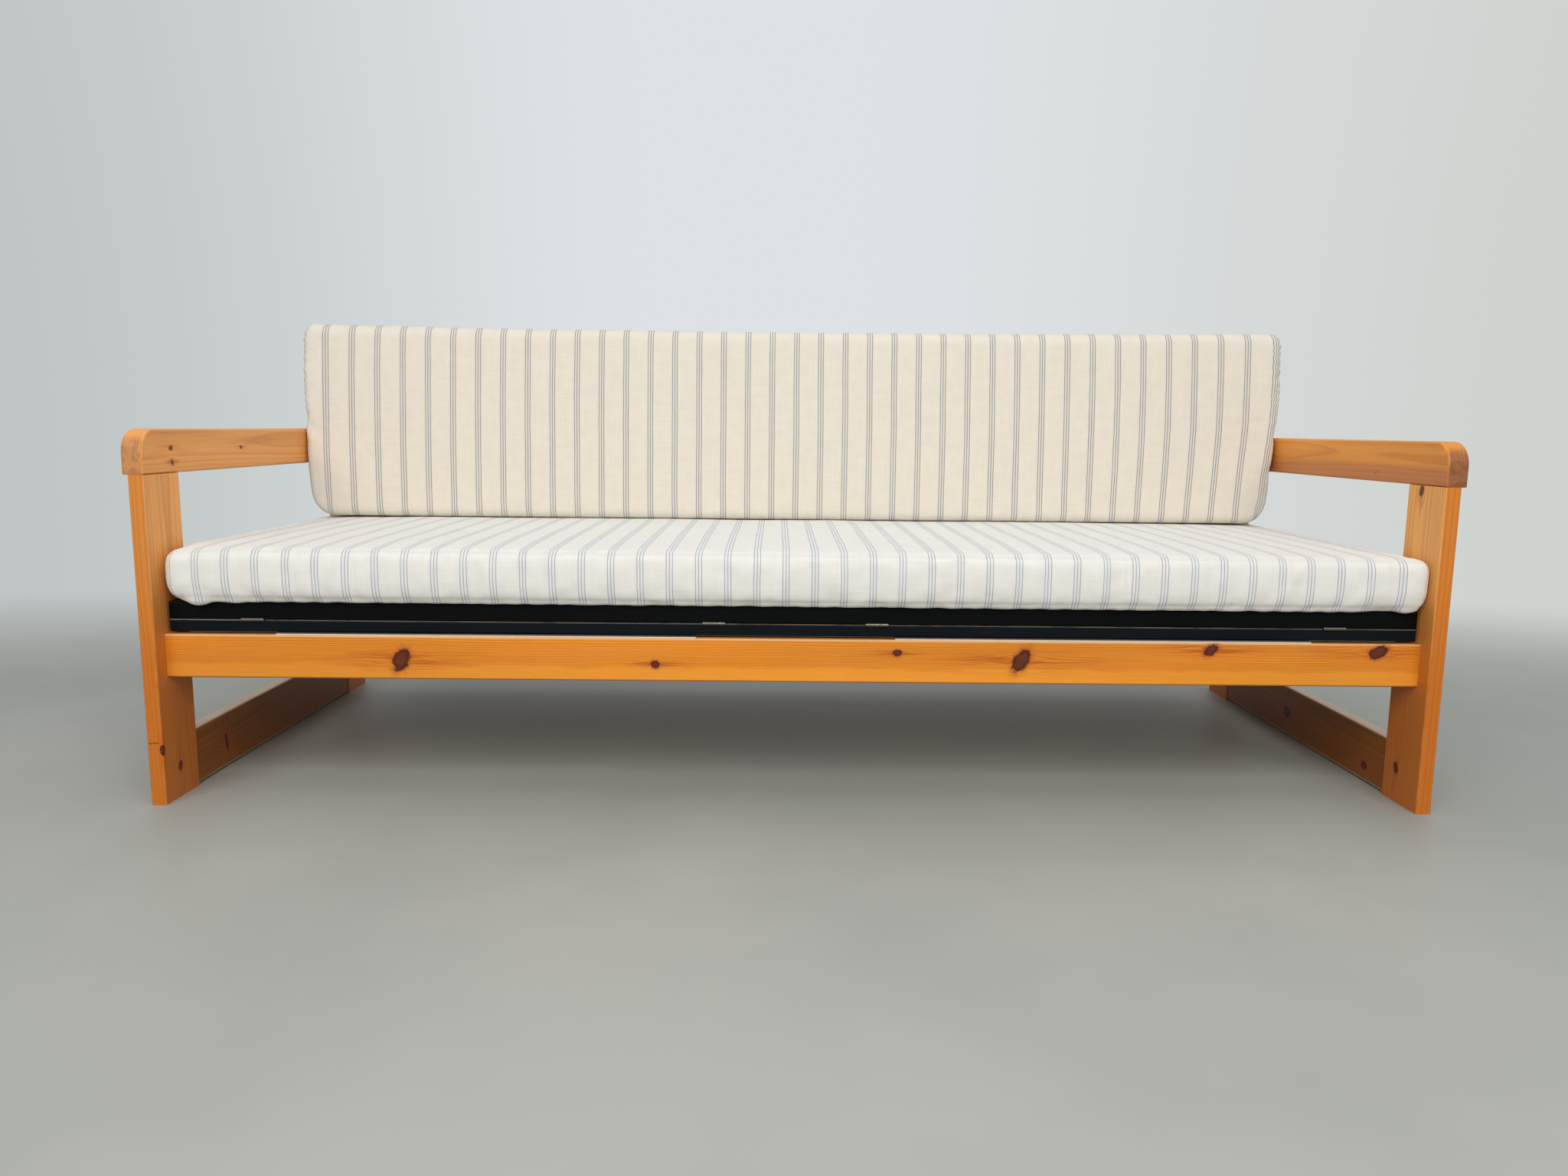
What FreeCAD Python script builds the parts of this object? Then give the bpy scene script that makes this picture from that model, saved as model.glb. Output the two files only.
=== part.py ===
import FreeCAD, Part
import os
from math import cos, radians, sin, sqrt, tan

# Pull-out bench bed in planed pine with two black front boards, a seat mattress and a folded
# back mattress. Millimetres. X runs along the bench, -Y is the side one sits down from and +Z
# is up. The origin is on the floor, under the middle of the whole bench.

Vector = FreeCAD.Vector

# Whole bench
clear_width = 2000.0
bench_depth = 860.0

# End frames: two legs, an arm on top of them and a rail between them above the floor
leg_thickness = 24.0
leg_width = 103.0
arm_thickness = 33.0
arm_height = 70.0
arm_top = 594.5
arm_nose_radius = 38.0
arm_edge_radius = 5.0
side_rail_thickness = 22.0
side_rail_height = 95.0
side_rail_floor_gap = 4.0
side_rail_recess = 2.0
board_arris = 2.5
batten_chamfer = 1.5
eased_share = 0.33
small_round_sides = 14

# Long rails between the end frames
rail_thickness = 28.0
rail_height = 70.0
front_rail_top = 272.5
rail_recess = 29.0
rest_rail_top = 586.0

# Sliding faces on the front rail
glide_thickness = 3.0
glide_width = 20.0
glide_inner_share = 0.159
glide_outer_share = 0.825
glide_setback = 2.0
slide_clearance = 0.3

# Pull-out frame: a lower black board with runners behind it, an upper black board with slats
lower_board_thickness = 20.0
lower_board_depth = 60.0
upper_board_thickness = 28.0
upper_board_depth = 45.0
black_board_end_gap = 6.0
black_board_setback = 7.0
rear_board_depth = 72.0
runner_width = 45.0
runner_tenon_length = 25.0
runner_tenon_thickness = 8.0
runner_tenon_shoulder = 6.0
stop_block_length = 24.0
stop_block_height = 24.0
stop_block_ledge_gap = 1.7

# Slats: two combs that pass between each other
slat_width = 45.0
slat_count = 29

# Bearers at the back
bearer_depth = 28.0
ledge_depth = 20.0
ledge_height = 34.0

# Two folding leg frames under the pull-out frame
post_width = 45.0
post_outer_share = 0.776
post_inner_share = 0.2092
foot_clearance = 0.5
foot_bar_width = 45.0
foot_bar_height_above_floor = 70.0
upper_bar_below_pivot = 45.0
pivot_bolt_radius = 4.0
pivot_running_clearance = 0.06
post_side_clearance = 0.5
pivot_head_radius = 7.0
pivot_head_height = 5.0

# Four butt hinges in the seam between the black boards
hinge_inner_share = 0.13
hinge_outer_share = 0.862
hinge_length = 36.0
hinge_leaf_depth = 18.0
hinge_leaf_thickness = 1.2
hinge_barrel_radius = 2.9
hinge_pin_radius = 1.4
hinge_knuckles = 3
hinge_knuckle_gap = 0.2
hinge_pin_clearance = 0.05

# Joinery: tenons throughout, and a bolt with a barrel nut at each end of the long rails
joint_play = 0.1
arm_tenon_width = 30.0
arm_tenon_height = 30.0
arm_tenon_thickness = 10.0
arm_tenon_inset = 10.0
side_tenon_length = 20.0
side_tenon_thickness = 8.0
side_tenon_shoulder = 12.0
rail_tenon_length = 12.0
rail_tenon_thickness = 10.0
rail_tenon_shoulder = 13.0
rail_bolt_radius = 3.0
rail_bolt_head_radius = 6.5
rail_bolt_head_height = 4.0
barrel_nut_radius = 5.0
barrel_nut_length = 18.0
barrel_nut_place = 38.0
slat_tenon_length = 15.0
slat_tenon_thickness = 10.0
slat_tenon_shoulder = 6.0
bar_tenon_length = 20.0
bar_tenon_thickness = 8.0
bar_tenon_shoulder = 6.0

# Mattresses
seat_thickness = 87.0
seat_depth = 800.0
seat_end_gap = 2.0
seat_front_setback = 10.0
seat_crown = 5.0
seat_side_bulge = 8.0
seat_corner_radius = 18.0
seat_plan_radius = 30.0
soft_clearance = 0.3
back_layer_thickness = 98.0
back_height = 386.0
back_end_gap = 1.0
back_front_bulge = 6.0
back_lean_degrees = 5.0
back_fold_radius = 60.0
back_lower_radius = 30.0
back_crease_width = 12.0
back_crease_share = 0.80
back_top_plan_radius = 22.0
back_bottom_plan_radius = 56.0
back_end_draw_in = 16.0

# How a rounded end is stepped, as shares of its radius
round_step_shares = (0.0, 0.06, 0.2, 0.5, 1.0)
flat_end_share = 0.12

# Places worked out from the sizes above
half_width = clear_width / 2
post_outer_face = half_width * post_outer_share
post_inner_face = half_width * post_inner_share
front_y = -bench_depth / 2
back_y = bench_depth / 2
arm_bottom = arm_top - arm_height
front_rail_y = front_y + rail_recess
rear_rail_back_y = back_y - rail_recess
rear_rail_y = rear_rail_back_y - rail_thickness
black_front_y = front_rail_y + black_board_setback
runner_bottom = front_rail_top + glide_thickness + slide_clearance
runner_top = runner_bottom + lower_board_thickness
leaf_top = runner_top + upper_board_thickness
fixed_slat_bottom = runner_top + slide_clearance
fixed_slat_top = leaf_top + slide_clearance
seat_bottom = fixed_slat_top + soft_clearance
seat_top = seat_bottom + seat_thickness + seat_crown
black_half_length = half_width - black_board_end_gap
lower_board_back_y = black_front_y + lower_board_depth
upper_board_back_y = black_front_y + upper_board_depth
frame_back_y = rear_rail_y - slide_clearance
rear_board_y = frame_back_y - rear_board_depth
slat_pitch = (2 * black_half_length - slat_width) / (slat_count - 1)
outer_runner_x = post_outer_face + post_side_clearance
inner_runner_x = post_inner_face - post_side_clearance - runner_width
pivot_y = lower_board_back_y + slide_clearance + lower_board_thickness / 2
pivot_z = (runner_bottom + runner_top) / 2
post_length = pivot_z - foot_clearance
stop_block_y = rear_rail_y - ledge_depth - stop_block_ledge_gap - stop_block_length
pull_out_travel = stop_block_y - slide_clearance - front_rail_y - rail_thickness
hinge_shares = (-hinge_outer_share, -hinge_inner_share, hinge_inner_share, hinge_outer_share)
hinge_places = [half_width * share for share in hinge_shares]


def box(x0, x1, y0, y1, z0, z1):
    """A plain block between two corners."""
    return Part.makeBox(x1 - x0, y1 - y0, z1 - z0, Vector(x0, y0, z0))


def edges_along(shape, axis):
    """The straight edges of a block that run along one axis."""
    found = []
    for edge in shape.Edges:
        a = edge.Vertexes[0].Point
        b = edge.Vertexes[-1].Point
        span = (b - a).normalize()
        if abs(abs(span.dot(axis)) - 1) < edge.Tolerance:
            found.append(edge)
    return found


def plank(x0, x1, y0, y1, z0, z1, axis, arris):
    """A planed board whose long edges, along axis, are eased."""
    block = box(x0, x1, y0, y1, z0, z1)
    sides = sorted((x1 - x0, y1 - y0, z1 - z0))
    radius = min(arris, sides[0] / 3)
    return block.makeFillet(radius, edges_along(block, axis))


def batten(x0, x1, y0, y1, z0, z1, axis):
    """A plain batten whose long edges are chamfered."""
    block = box(x0, x1, y0, y1, z0, z1)
    sides = sorted((x1 - x0, y1 - y0, z1 - z0))
    return block.makeChamfer(min(batten_chamfer, sides[0] * eased_share), edges_along(block, axis))


def rod(radius, length, base, direction):
    """A round bar from base along direction."""
    return Part.makeCylinder(radius, length, base, direction)


def small_rod(radius, length, base, direction):
    """A thin level rod, bolt or bore along X or Y, with flats in place of a round."""
    sideways = direction.cross(Z)
    corners = []
    for number in range(small_round_sides + 1):
        angle = radians(360.0 * number / small_round_sides)
        corners.append(base + (Z * cos(angle) + sideways * sin(angle)) * radius)
    return Part.Face(Part.makePolygon(corners)).extrude(direction * length)


def cut(shape, tools):
    """The shape with a list of tools taken out of it."""
    if not tools:
        return shape
    return shape.cut(Part.makeCompound(tools))


def group(solids):
    """Several separate pieces of one kind."""
    return Part.makeCompound(solids)


X = Vector(1, 0, 0)
Y = Vector(0, 1, 0)
Z = Vector(0, 0, 1)


def leg_y_ranges():
    """Front-to-back places of the front and the rear leg."""
    return ((front_y, front_y + leg_width), (back_y - leg_width, back_y))


def arm_tenon(side, low, high, play):
    """The stub on top of a leg that the arm drops over, or with some play its mortise."""
    centre = side * (half_width + leg_thickness / 2)
    half = arm_tenon_thickness / 2 + play
    inner = high - arm_tenon_inset - arm_tenon_width if low < 0 else low + arm_tenon_inset
    return box(centre - half, centre + half, inner - play, inner + arm_tenon_width + play,
               arm_bottom - play, arm_bottom + arm_tenon_height + play)


def side_tenons(side, play):
    """The tenons at both ends of a low side rail, or with some play the mortises for them."""
    centre = side * (half_width + side_rail_recess + side_rail_thickness / 2)
    half = side_tenon_thickness / 2 + play
    low = side_rail_floor_gap + side_tenon_shoulder - play
    high = side_rail_floor_gap + side_rail_height - side_tenon_shoulder + play
    reach = bench_depth / 2 - leg_width + side_tenon_length + play
    return box(centre - half, centre + half, -reach, reach, low, high)


def long_rail_places():
    """Front face and top of each long rail, and the thickness of the leg or arm that it meets."""
    return (
        (front_rail_y, front_rail_top, leg_thickness),
        (rear_rail_y, front_rail_top, leg_thickness),
        (rear_rail_y, rest_rail_top, arm_thickness),
    )


def rail_tenons(y0, top, play):
    """The stub tenons at both ends of a long rail, or with some play the mortises for them."""
    y = y0 + rail_thickness / 2
    half = rail_tenon_thickness / 2 + play
    reach = half_width + rail_tenon_length + play
    return box(-reach, reach, y - half, y + half,
               top - rail_height + rail_tenon_shoulder - play, top - rail_tenon_shoulder + play)


def rail_joinery():
    """Bolts and barrel nuts that hold the long rails to the legs and arms, with their holes."""
    bolts = []
    nuts = []
    holes = []
    for y0, top, wall in long_rail_places():
        y = y0 + rail_thickness / 2
        z = top - rail_height / 2
        for side in (-1, 1):
            inward = X * -side
            outside = Vector(side * (half_width + wall), y, z)
            length = wall + barrel_nut_place - barrel_nut_radius - joint_play
            head = small_rod(rail_bolt_head_radius, rail_bolt_head_height, outside, inward)
            shank = small_rod(rail_bolt_radius, length, outside, inward)
            bolts.append(head.fuse(shank).removeSplitter())
            holes.append(small_rod(rail_bolt_head_radius + joint_play, rail_bolt_head_height, outside, inward))
            holes.append(small_rod(rail_bolt_radius + joint_play, length, outside, inward))
            nut_base = Vector(side * (half_width - barrel_nut_place), y0 + rail_thickness, z)
            nuts.append(small_rod(barrel_nut_radius, barrel_nut_length, nut_base, Y * -1))
            holes.append(small_rod(barrel_nut_radius, barrel_nut_length, nut_base, Y * -1))
    return bolts, nuts, holes


def touching(holes, shape):
    """Those holes whose box meets the shape's box."""
    return [hole for hole in holes if hole.BoundBox.intersect(shape.BoundBox)]


def leg(side, low, high, holes):
    """One plain plank leg with a stub tenon on top, standing on the floor under the arm."""
    x0 = half_width if side > 0 else -half_width - leg_thickness
    post = plank(x0, x0 + leg_thickness, low, high, 0, arm_bottom, Z, board_arris)
    post = post.fuse(arm_tenon(side, low, high, 0))
    mortises = [side_tenons(side, joint_play)]
    for y0, top, wall in long_rail_places():
        if wall == leg_thickness:
            mortises.append(rail_tenons(y0, top, joint_play))
    return cut(post, touching(holes + mortises, post))


def arm(side, holes):
    """A plank on edge over both legs, with rounded top corners and eased edges."""
    x0 = half_width if side > 0 else -half_width - arm_thickness
    board = box(x0, x0 + arm_thickness, front_y, back_y, arm_bottom, arm_top)
    ends = []
    for edge in edges_along(board, X):
        if edge.CenterOfMass.z > (arm_bottom + arm_top) / 2:
            ends.append(edge)
    board = board.makeFillet(min(arm_nose_radius, arm_height / 2 + arm_edge_radius), ends)
    rims = []
    for edge in board.Edges:
        middle = edge.CenterOfMass
        if abs(middle.x - x0) < board_arris or abs(middle.x - x0 - arm_thickness) < board_arris:
            rims.append(edge)
    board = board.makeFillet(min(arm_edge_radius, arm_thickness * eased_share), rims)
    mortises = [arm_tenon(side, low, high, joint_play) for low, high in leg_y_ranges()]
    for y0, top, wall in long_rail_places():
        if wall == arm_thickness:
            mortises.append(rail_tenons(y0, top, joint_play))
    return cut(board, touching(holes + mortises, board))


def side_rail(side):
    """The low rail between the legs of one end frame, tenoned into both."""
    x0 = half_width + side_rail_recess
    if side < 0:
        x0 = -half_width - side_rail_recess - side_rail_thickness
    low = side_rail_floor_gap
    rail = plank(x0, x0 + side_rail_thickness, front_y + leg_width, back_y - leg_width,
                 low, low + side_rail_height, Y, board_arris)
    return rail.fuse(side_tenons(side, 0))


def long_rail(y0, top, holes):
    """A rail from end frame to end frame with a stub tenon at each end."""
    rail = plank(-half_width, half_width, y0, y0 + rail_thickness, top - rail_height, top, X, board_arris)
    rail = rail.fuse(rail_tenons(y0, top, 0))
    return cut(rail, touching(holes, rail))


def glide_strip(side):
    """A smooth strip on the front rail that the pull-out frame slides over."""
    inner = half_width * glide_inner_share
    outer = half_width * glide_outer_share
    x0, x1 = (inner, outer) if side > 0 else (-outer, -inner)
    y0 = front_rail_y + glide_setback
    strip = box(x0, x1, y0, y0 + glide_width, front_rail_top, front_rail_top + glide_thickness)
    top_edges = [edge for edge in edges_along(strip, X) if edge.CenterOfMass.z > front_rail_top + glide_thickness / 2]
    return strip.makeFillet(glide_thickness / 3, top_edges)


def slat_x(index):
    """Left side of a slat, counted from the left end."""
    return -black_half_length + index * slat_pitch


def sliding_indexes():
    """The slats that belong to the pull-out frame: every other one, ends included."""
    return range(0, slat_count, 2)


def fixed_indexes():
    """The slats that stay with the bench."""
    return range(1, slat_count, 2)


def fixed_slat_front_y():
    """Front ends of the fixed slats, behind the upper black board."""
    return upper_board_back_y + batten_chamfer


def fixed_slats():
    """Slats fixed on the rear bearer, their front ends resting on the pull-out frame."""
    slats = []
    for index in fixed_indexes():
        x0 = slat_x(index)
        slats.append(batten(x0, x0 + slat_width, fixed_slat_front_y(), rear_rail_back_y,
                            fixed_slat_bottom, fixed_slat_top, Y))
    return slats


def rear_bearer():
    """The batten on top of the rear rail that carries the fixed slats."""
    return batten(-half_width, half_width, rear_rail_y, rear_rail_y + bearer_depth,
                  front_rail_top, fixed_slat_bottom, X)


def rear_ledge():
    """The batten on the rear rail's inner face that the pull-out frame rests on when closed."""
    top = runner_bottom - slide_clearance
    return batten(-half_width, half_width, rear_rail_y - ledge_depth, rear_rail_y, top - ledge_height, top, X)


def hinge_solids():
    """Leaves with their knuckles and the pins of the four butt hinges, and the mortises for them."""
    upper = []
    lower = []
    pins = []
    mortises = []
    axis_y = black_front_y - hinge_barrel_radius / 2
    back = black_front_y + hinge_leaf_depth
    step = hinge_length / hinge_knuckles
    for place in hinge_places:
        x0 = place - hinge_length / 2
        centre = Vector(x0, axis_y, runner_top)
        bore = small_rod(hinge_pin_radius + hinge_pin_clearance, hinge_length, centre, X)
        room = small_rod(hinge_barrel_radius + hinge_knuckle_gap, hinge_length, centre, X)
        for leaves, first, low in ((lower, 0, runner_top - hinge_leaf_thickness), (upper, 1, runner_top)):
            high = low + hinge_leaf_thickness
            leaf = box(x0, x0 + hinge_length, axis_y, back, low, high).cut(room)
            knuckles = []
            for number in range(first, hinge_knuckles, 2):
                start = x0 + number * step + hinge_knuckle_gap / 2
                end = x0 + (number + 1) * step - hinge_knuckle_gap / 2
                knuckles.append(small_rod(hinge_barrel_radius, end - start, Vector(start, axis_y, runner_top), X))
                knuckles.append(box(start, end, axis_y, back, low, high))
            leaves.append(leaf.multiFuse(knuckles).removeSplitter().cut(bore))
        pins.append(small_rod(hinge_pin_radius, hinge_length, centre, X))
        mortises.append(box(x0, x0 + hinge_length, black_front_y, back,
                            runner_top - hinge_leaf_thickness, runner_top + hinge_leaf_thickness))
        mortises.append(room)
    return upper, lower, pins, mortises


def runner_places():
    """Left sides of the runners: both ends, the middle and one on each side of each leg frame."""
    end = black_half_length - runner_width
    right = (inner_runner_x, outer_runner_x, end)
    left = tuple(-x - runner_width for x in right)
    return sorted(left + (-runner_width / 2,) + right)


def stopped_runner_places():
    """The runners beside the leg frames, which carry the stop blocks."""
    right = (inner_runner_x, outer_runner_x)
    left = tuple(-x - runner_width for x in right)
    return sorted(left + right)


def runner_tongue(x0, play):
    """The tenons at both ends of a runner, or with some play the mortises that take them."""
    half = runner_tenon_thickness / 2 + play
    reach = runner_tenon_length + play
    return box(x0 + runner_tenon_shoulder - play, x0 + runner_width - runner_tenon_shoulder + play,
               lower_board_back_y - reach, rear_board_y + reach, pivot_z - half, pivot_z + half)


def runner_mortises():
    """The slots in the lower front board and the rear board for the runners' tenons."""
    return [runner_tongue(x0, joint_play) for x0 in runner_places()]


def slat_tongue(index, play):
    """The tenon at the front end of a sliding slat, or with some play its mortise."""
    x0 = slat_x(index)
    half = slat_tenon_thickness / 2 + play
    middle = runner_top + upper_board_thickness / 2
    return box(x0 + slat_tenon_shoulder - play, x0 + slat_width - slat_tenon_shoulder + play,
               upper_board_back_y - slat_tenon_length - play, upper_board_back_y + slat_tenon_length,
               middle - half, middle + half)


def pull_out_frame(mortises):
    """Boards, runners and slats of the part that draws forward."""
    half = black_half_length
    slat_mortises = [slat_tongue(index, joint_play) for index in sliding_indexes()]
    upper_board = plank(-half, half, black_front_y, upper_board_back_y, runner_top, leaf_top, X, board_arris)
    lower_board = plank(-half, half, black_front_y, lower_board_back_y, runner_bottom, runner_top, X, board_arris)
    rear_board = batten(-half, half, rear_board_y, frame_back_y, runner_bottom, runner_top, X)
    bolt_holes = pivot_hardware()[1]
    runners = []
    for x0 in runner_places():
        runner = batten(x0, x0 + runner_width, lower_board_back_y, rear_board_y, runner_bottom, runner_top, Y)
        runner = runner.fuse(runner_tongue(x0, 0))
        runners.append(cut(runner, touching(bolt_holes, runner)))
    blocks = []
    for x0 in stopped_runner_places():
        blocks.append(batten(x0, x0 + runner_width, stop_block_y, stop_block_y + stop_block_length,
                             runner_bottom - stop_block_height, runner_bottom, Y))
    slats = []
    for index in sliding_indexes():
        x0 = slat_x(index)
        slat = batten(x0, x0 + slat_width, upper_board_back_y, frame_back_y, runner_top, leaf_top, Y)
        slats.append(slat.fuse(slat_tongue(index, 0)))
    return {
        "upper_front_board": cut(upper_board, mortises + slat_mortises),
        "lower_front_board": cut(lower_board, mortises + runner_mortises()),
        "runner_rear_board": cut(rear_board, runner_mortises()),
        "runners": group(runners),
        "stop_blocks": group(blocks),
        "sliding_slats": group(slats),
    }


def post_faces():
    """Inner and outer face of the two posts of the right leg frame."""
    return ((post_inner_face, post_inner_face + post_width), (post_outer_face - post_width, post_outer_face))


def pivot_hardware():
    """Pivot bolts through the runners into the posts, with the holes in the runners."""
    bolts = []
    holes = []
    for side in (-1, 1):
        for face, inward in ((inner_runner_x, 1), (outer_runner_x + runner_width, -1)):
            into = X * (side * inward)
            base = Vector(side * face, pivot_y, pivot_z)
            length = runner_width + post_side_clearance + post_width
            head = rod(pivot_head_radius, pivot_head_height, base, into * -1)
            shank = rod(pivot_bolt_radius, length, base, into)
            bolts.append(head.fuse(shank).removeSplitter())
            holes.append(rod(pivot_bolt_radius + pivot_running_clearance, runner_width, base, into))
    return bolts, holes


def post(x0):
    """A folding leg post, lying back from its pivot, with a rounded end round the bolt."""
    radius = lower_board_thickness / 2
    low = Vector(x0, pivot_y, pivot_z - radius)
    high = Vector(x0, pivot_y, pivot_z + radius)
    nose = Vector(x0, pivot_y - radius, pivot_z)
    far = Vector(x0, pivot_y + post_length, pivot_z)
    down = Z * -radius
    outline = Part.Wire([
        Part.Arc(low, nose, high).toShape(),
        Part.LineSegment(high, far - down).toShape(),
        Part.LineSegment(far - down, far + down).toShape(),
        Part.LineSegment(far + down, low).toShape(),
    ])
    body = Part.Face(outline).extrude(X * post_width)
    bore = rod(pivot_bolt_radius + pivot_running_clearance, post_width, Vector(x0, pivot_y, pivot_z), X)
    return body.cut(bore)


def bar_tongue(bar_x, y0, play):
    """The tenons at both ends of a crossbar, or with some play the mortises for them."""
    half = bar_tenon_thickness / 2 + play
    reach = bar_tenon_length + play
    return box(bar_x[0] - reach, bar_x[1] + reach, y0 + bar_tenon_shoulder - play,
               y0 + foot_bar_width - bar_tenon_shoulder + play, pivot_z - half, pivot_z + half)


def leg_frame(side):
    """Two posts and two crossbars, drawn folded flat between the runners."""
    inner, outer = post_faces()
    places = [(low, high) if side > 0 else (-high, -low) for low, high in (inner, outer)]
    bar_x = (inner[1], outer[0]) if side > 0 else (-outer[0], -inner[1])
    foot_bar_y = pivot_y + post_length - foot_bar_height_above_floor - foot_bar_width
    upper_bar_y = pivot_y + upper_bar_below_pivot
    bars = []
    mortises = []
    for y0 in (foot_bar_y, upper_bar_y):
        bar = batten(bar_x[0], bar_x[1], y0, y0 + foot_bar_width, runner_bottom, runner_top, X)
        bars.append(bar.fuse(bar_tongue(bar_x, y0, 0)))
        mortises.append(bar_tongue(bar_x, y0, joint_play))
    inner_post, outer_post = [cut(post(low), mortises) for low, high in places]
    return {
        "inner_post": inner_post,
        "outer_post": outer_post,
        "foot_bar": bars[0],
        "upper_bar": bars[1],
    }


def quarter_inset(radius, share):
    """How far a quarter-round end draws in, at a share of its radius from the very end."""
    return radius * (1 - sqrt(1 - (1 - share) ** 2))


def cushion_wire(x, places):
    """A closed section at x: straight runs and arcs through the given front-to-back points."""
    edges = []
    count = len(places)
    for number in range(count):
        kind, point, through = places[number]
        following = places[(number + 1) % count][1]
        a = Vector(x, point[0], point[1])
        b = Vector(x, following[0], following[1])
        if kind == "line":
            edges.append(Part.LineSegment(a, b).toShape())
        else:
            edges.append(Part.Arc(a, Vector(x, through[0], through[1]), b).toShape())
    return Part.Wire(edges)


def corner_middle(centre, radius, degrees):
    """The middle point of a quarter-round corner."""
    angle = radians(degrees)
    return (centre[0] + radius * cos(angle), centre[1] + radius * sin(angle))


def seat_section(x, inset, drop):
    """The seat mattress across its depth: flat below, crowned above, with bulging sides."""
    y0 = front_y + seat_front_setback + inset
    y1 = y0 + seat_depth - 2 * inset
    z0 = seat_bottom
    z1 = seat_top - seat_crown - drop
    r = seat_corner_radius
    bulge = seat_side_bulge
    places = (
        ("line", (y0 + bulge + r, z0), None),
        ("arc", (y1 - bulge - r, z0), corner_middle((y1 - bulge - r, z0 + r), r, -45)),
        ("arc", (y1 - bulge, z0 + r), (y1, (z0 + z1) / 2)),
        ("arc", (y1 - bulge, z1 - r), corner_middle((y1 - bulge - r, z1 - r), r, 45)),
        ("arc", (y1 - bulge - r, z1), ((y0 + y1) / 2, z1 + seat_crown)),
        ("arc", (y0 + bulge + r, z1), corner_middle((y0 + bulge + r, z1 - r), r, 135)),
        ("arc", (y0 + bulge, z1 - r), (y0, (z0 + z1) / 2)),
        ("arc", (y0 + bulge, z0 + r), corner_middle((y0 + bulge + r, z0 + r), r, 225)),
    )
    return cushion_wire(x, places)


def end_stations(half_length, radius):
    """Distances along the length of one rounded end, from the tip inwards, with their shares."""
    return [(half_length - radius * share, share) for share in round_step_shares]


def lengthwise_loft(half_length, radius, section):
    """A long soft form whose two ends are rounded in plan."""
    stations = []
    for x, share in end_stations(half_length, radius):
        stations.append((-x, share))
    for x, share in reversed(end_stations(half_length, radius)):
        stations.append((x, share))
    wires = [section(x, share) for x, share in stations]
    return Part.makeLoft(wires, True, True)


def seat_mattress():
    """The seat mattress: a crowned slab with rounded ends."""
    half_length = half_width - seat_end_gap

    def section(x, share):
        inset = quarter_inset(seat_plan_radius, max(share, flat_end_share))
        drop = quarter_inset(seat_corner_radius, max(share, flat_end_share))
        return seat_section(x, inset, drop)

    return lengthwise_loft(half_length, seat_plan_radius, section)


def back_plane_y(z):
    """The rear face of the leaning back mattress at a height, touching the rest rail's top edge."""
    contact = rear_rail_y - soft_clearance
    return contact + (z - rest_rail_top) * tan(radians(back_lean_degrees))


def back_section(x, inset_top, inset_bottom, inset_face):
    """The folded back mattress across its depth, leaning back against the rest rail."""
    z0 = seat_top + soft_clearance + inset_bottom
    z1 = seat_top + soft_clearance + back_height - inset_top
    depth = 2 * back_layer_thickness + back_crease_width
    top_r = back_fold_radius
    low_r = back_lower_radius

    def leaning(forward, z):
        return (back_plane_y(z) - forward, z)

    def through(forward, z, r, degrees):
        point = corner_middle((forward, z), r, degrees)
        return leaning(point[0], point[1])

    front = depth - inset_face
    rear = inset_face
    places = (
        ("line", leaning(front - low_r, z0), None),
        ("arc", leaning(rear + low_r, z0), through(rear + low_r, z0 + low_r, low_r, 225)),
        ("line", leaning(rear, z0 + low_r), None),
        ("arc", leaning(rear, z1 - top_r), through(rear + top_r, z1 - top_r, top_r, 135)),
        ("arc", leaning(rear + top_r, z1 - back_front_bulge / 2), leaning((front + rear) / 2, z1)),
        ("arc", leaning(front - top_r, z1 - back_front_bulge / 2), through(front - top_r, z1 - top_r, top_r, 45)),
        ("arc", leaning(front, z1 - top_r), leaning(front + back_front_bulge, (z0 + z1) / 2)),
        ("arc", leaning(front, z0 + low_r), through(front - low_r, z0 + low_r, low_r, -45)),
    )
    return cushion_wire(x, places)


def back_mattress():
    """The second mattress, folded double and stood on the seat, fold upwards."""
    half_length = half_width - back_end_gap
    radius = back_bottom_plan_radius

    def section(x, share):
        eased = max(share, flat_end_share)
        top = quarter_inset(back_top_plan_radius, min(1, eased * radius / back_top_plan_radius))
        return back_section(x, top, quarter_inset(radius, eased), quarter_inset(back_end_draw_in, eased))

    body = lengthwise_loft(half_length, radius, section)
    z0 = seat_top + soft_clearance
    crease_top = z0 + back_height * back_crease_share
    rear = back_layer_thickness
    front = rear + back_crease_width
    low = z0 - back_height
    points = []
    for forward, z in ((rear, low), (front, low), (front, crease_top), (rear, crease_top)):
        points.append(Vector(-clear_width, back_plane_y(z) - forward, z))
    points.append(points[0])
    crease = Part.Face(Part.makePolygon(points)).extrude(X * (2 * clear_width))
    return body.cut(crease)


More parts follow.
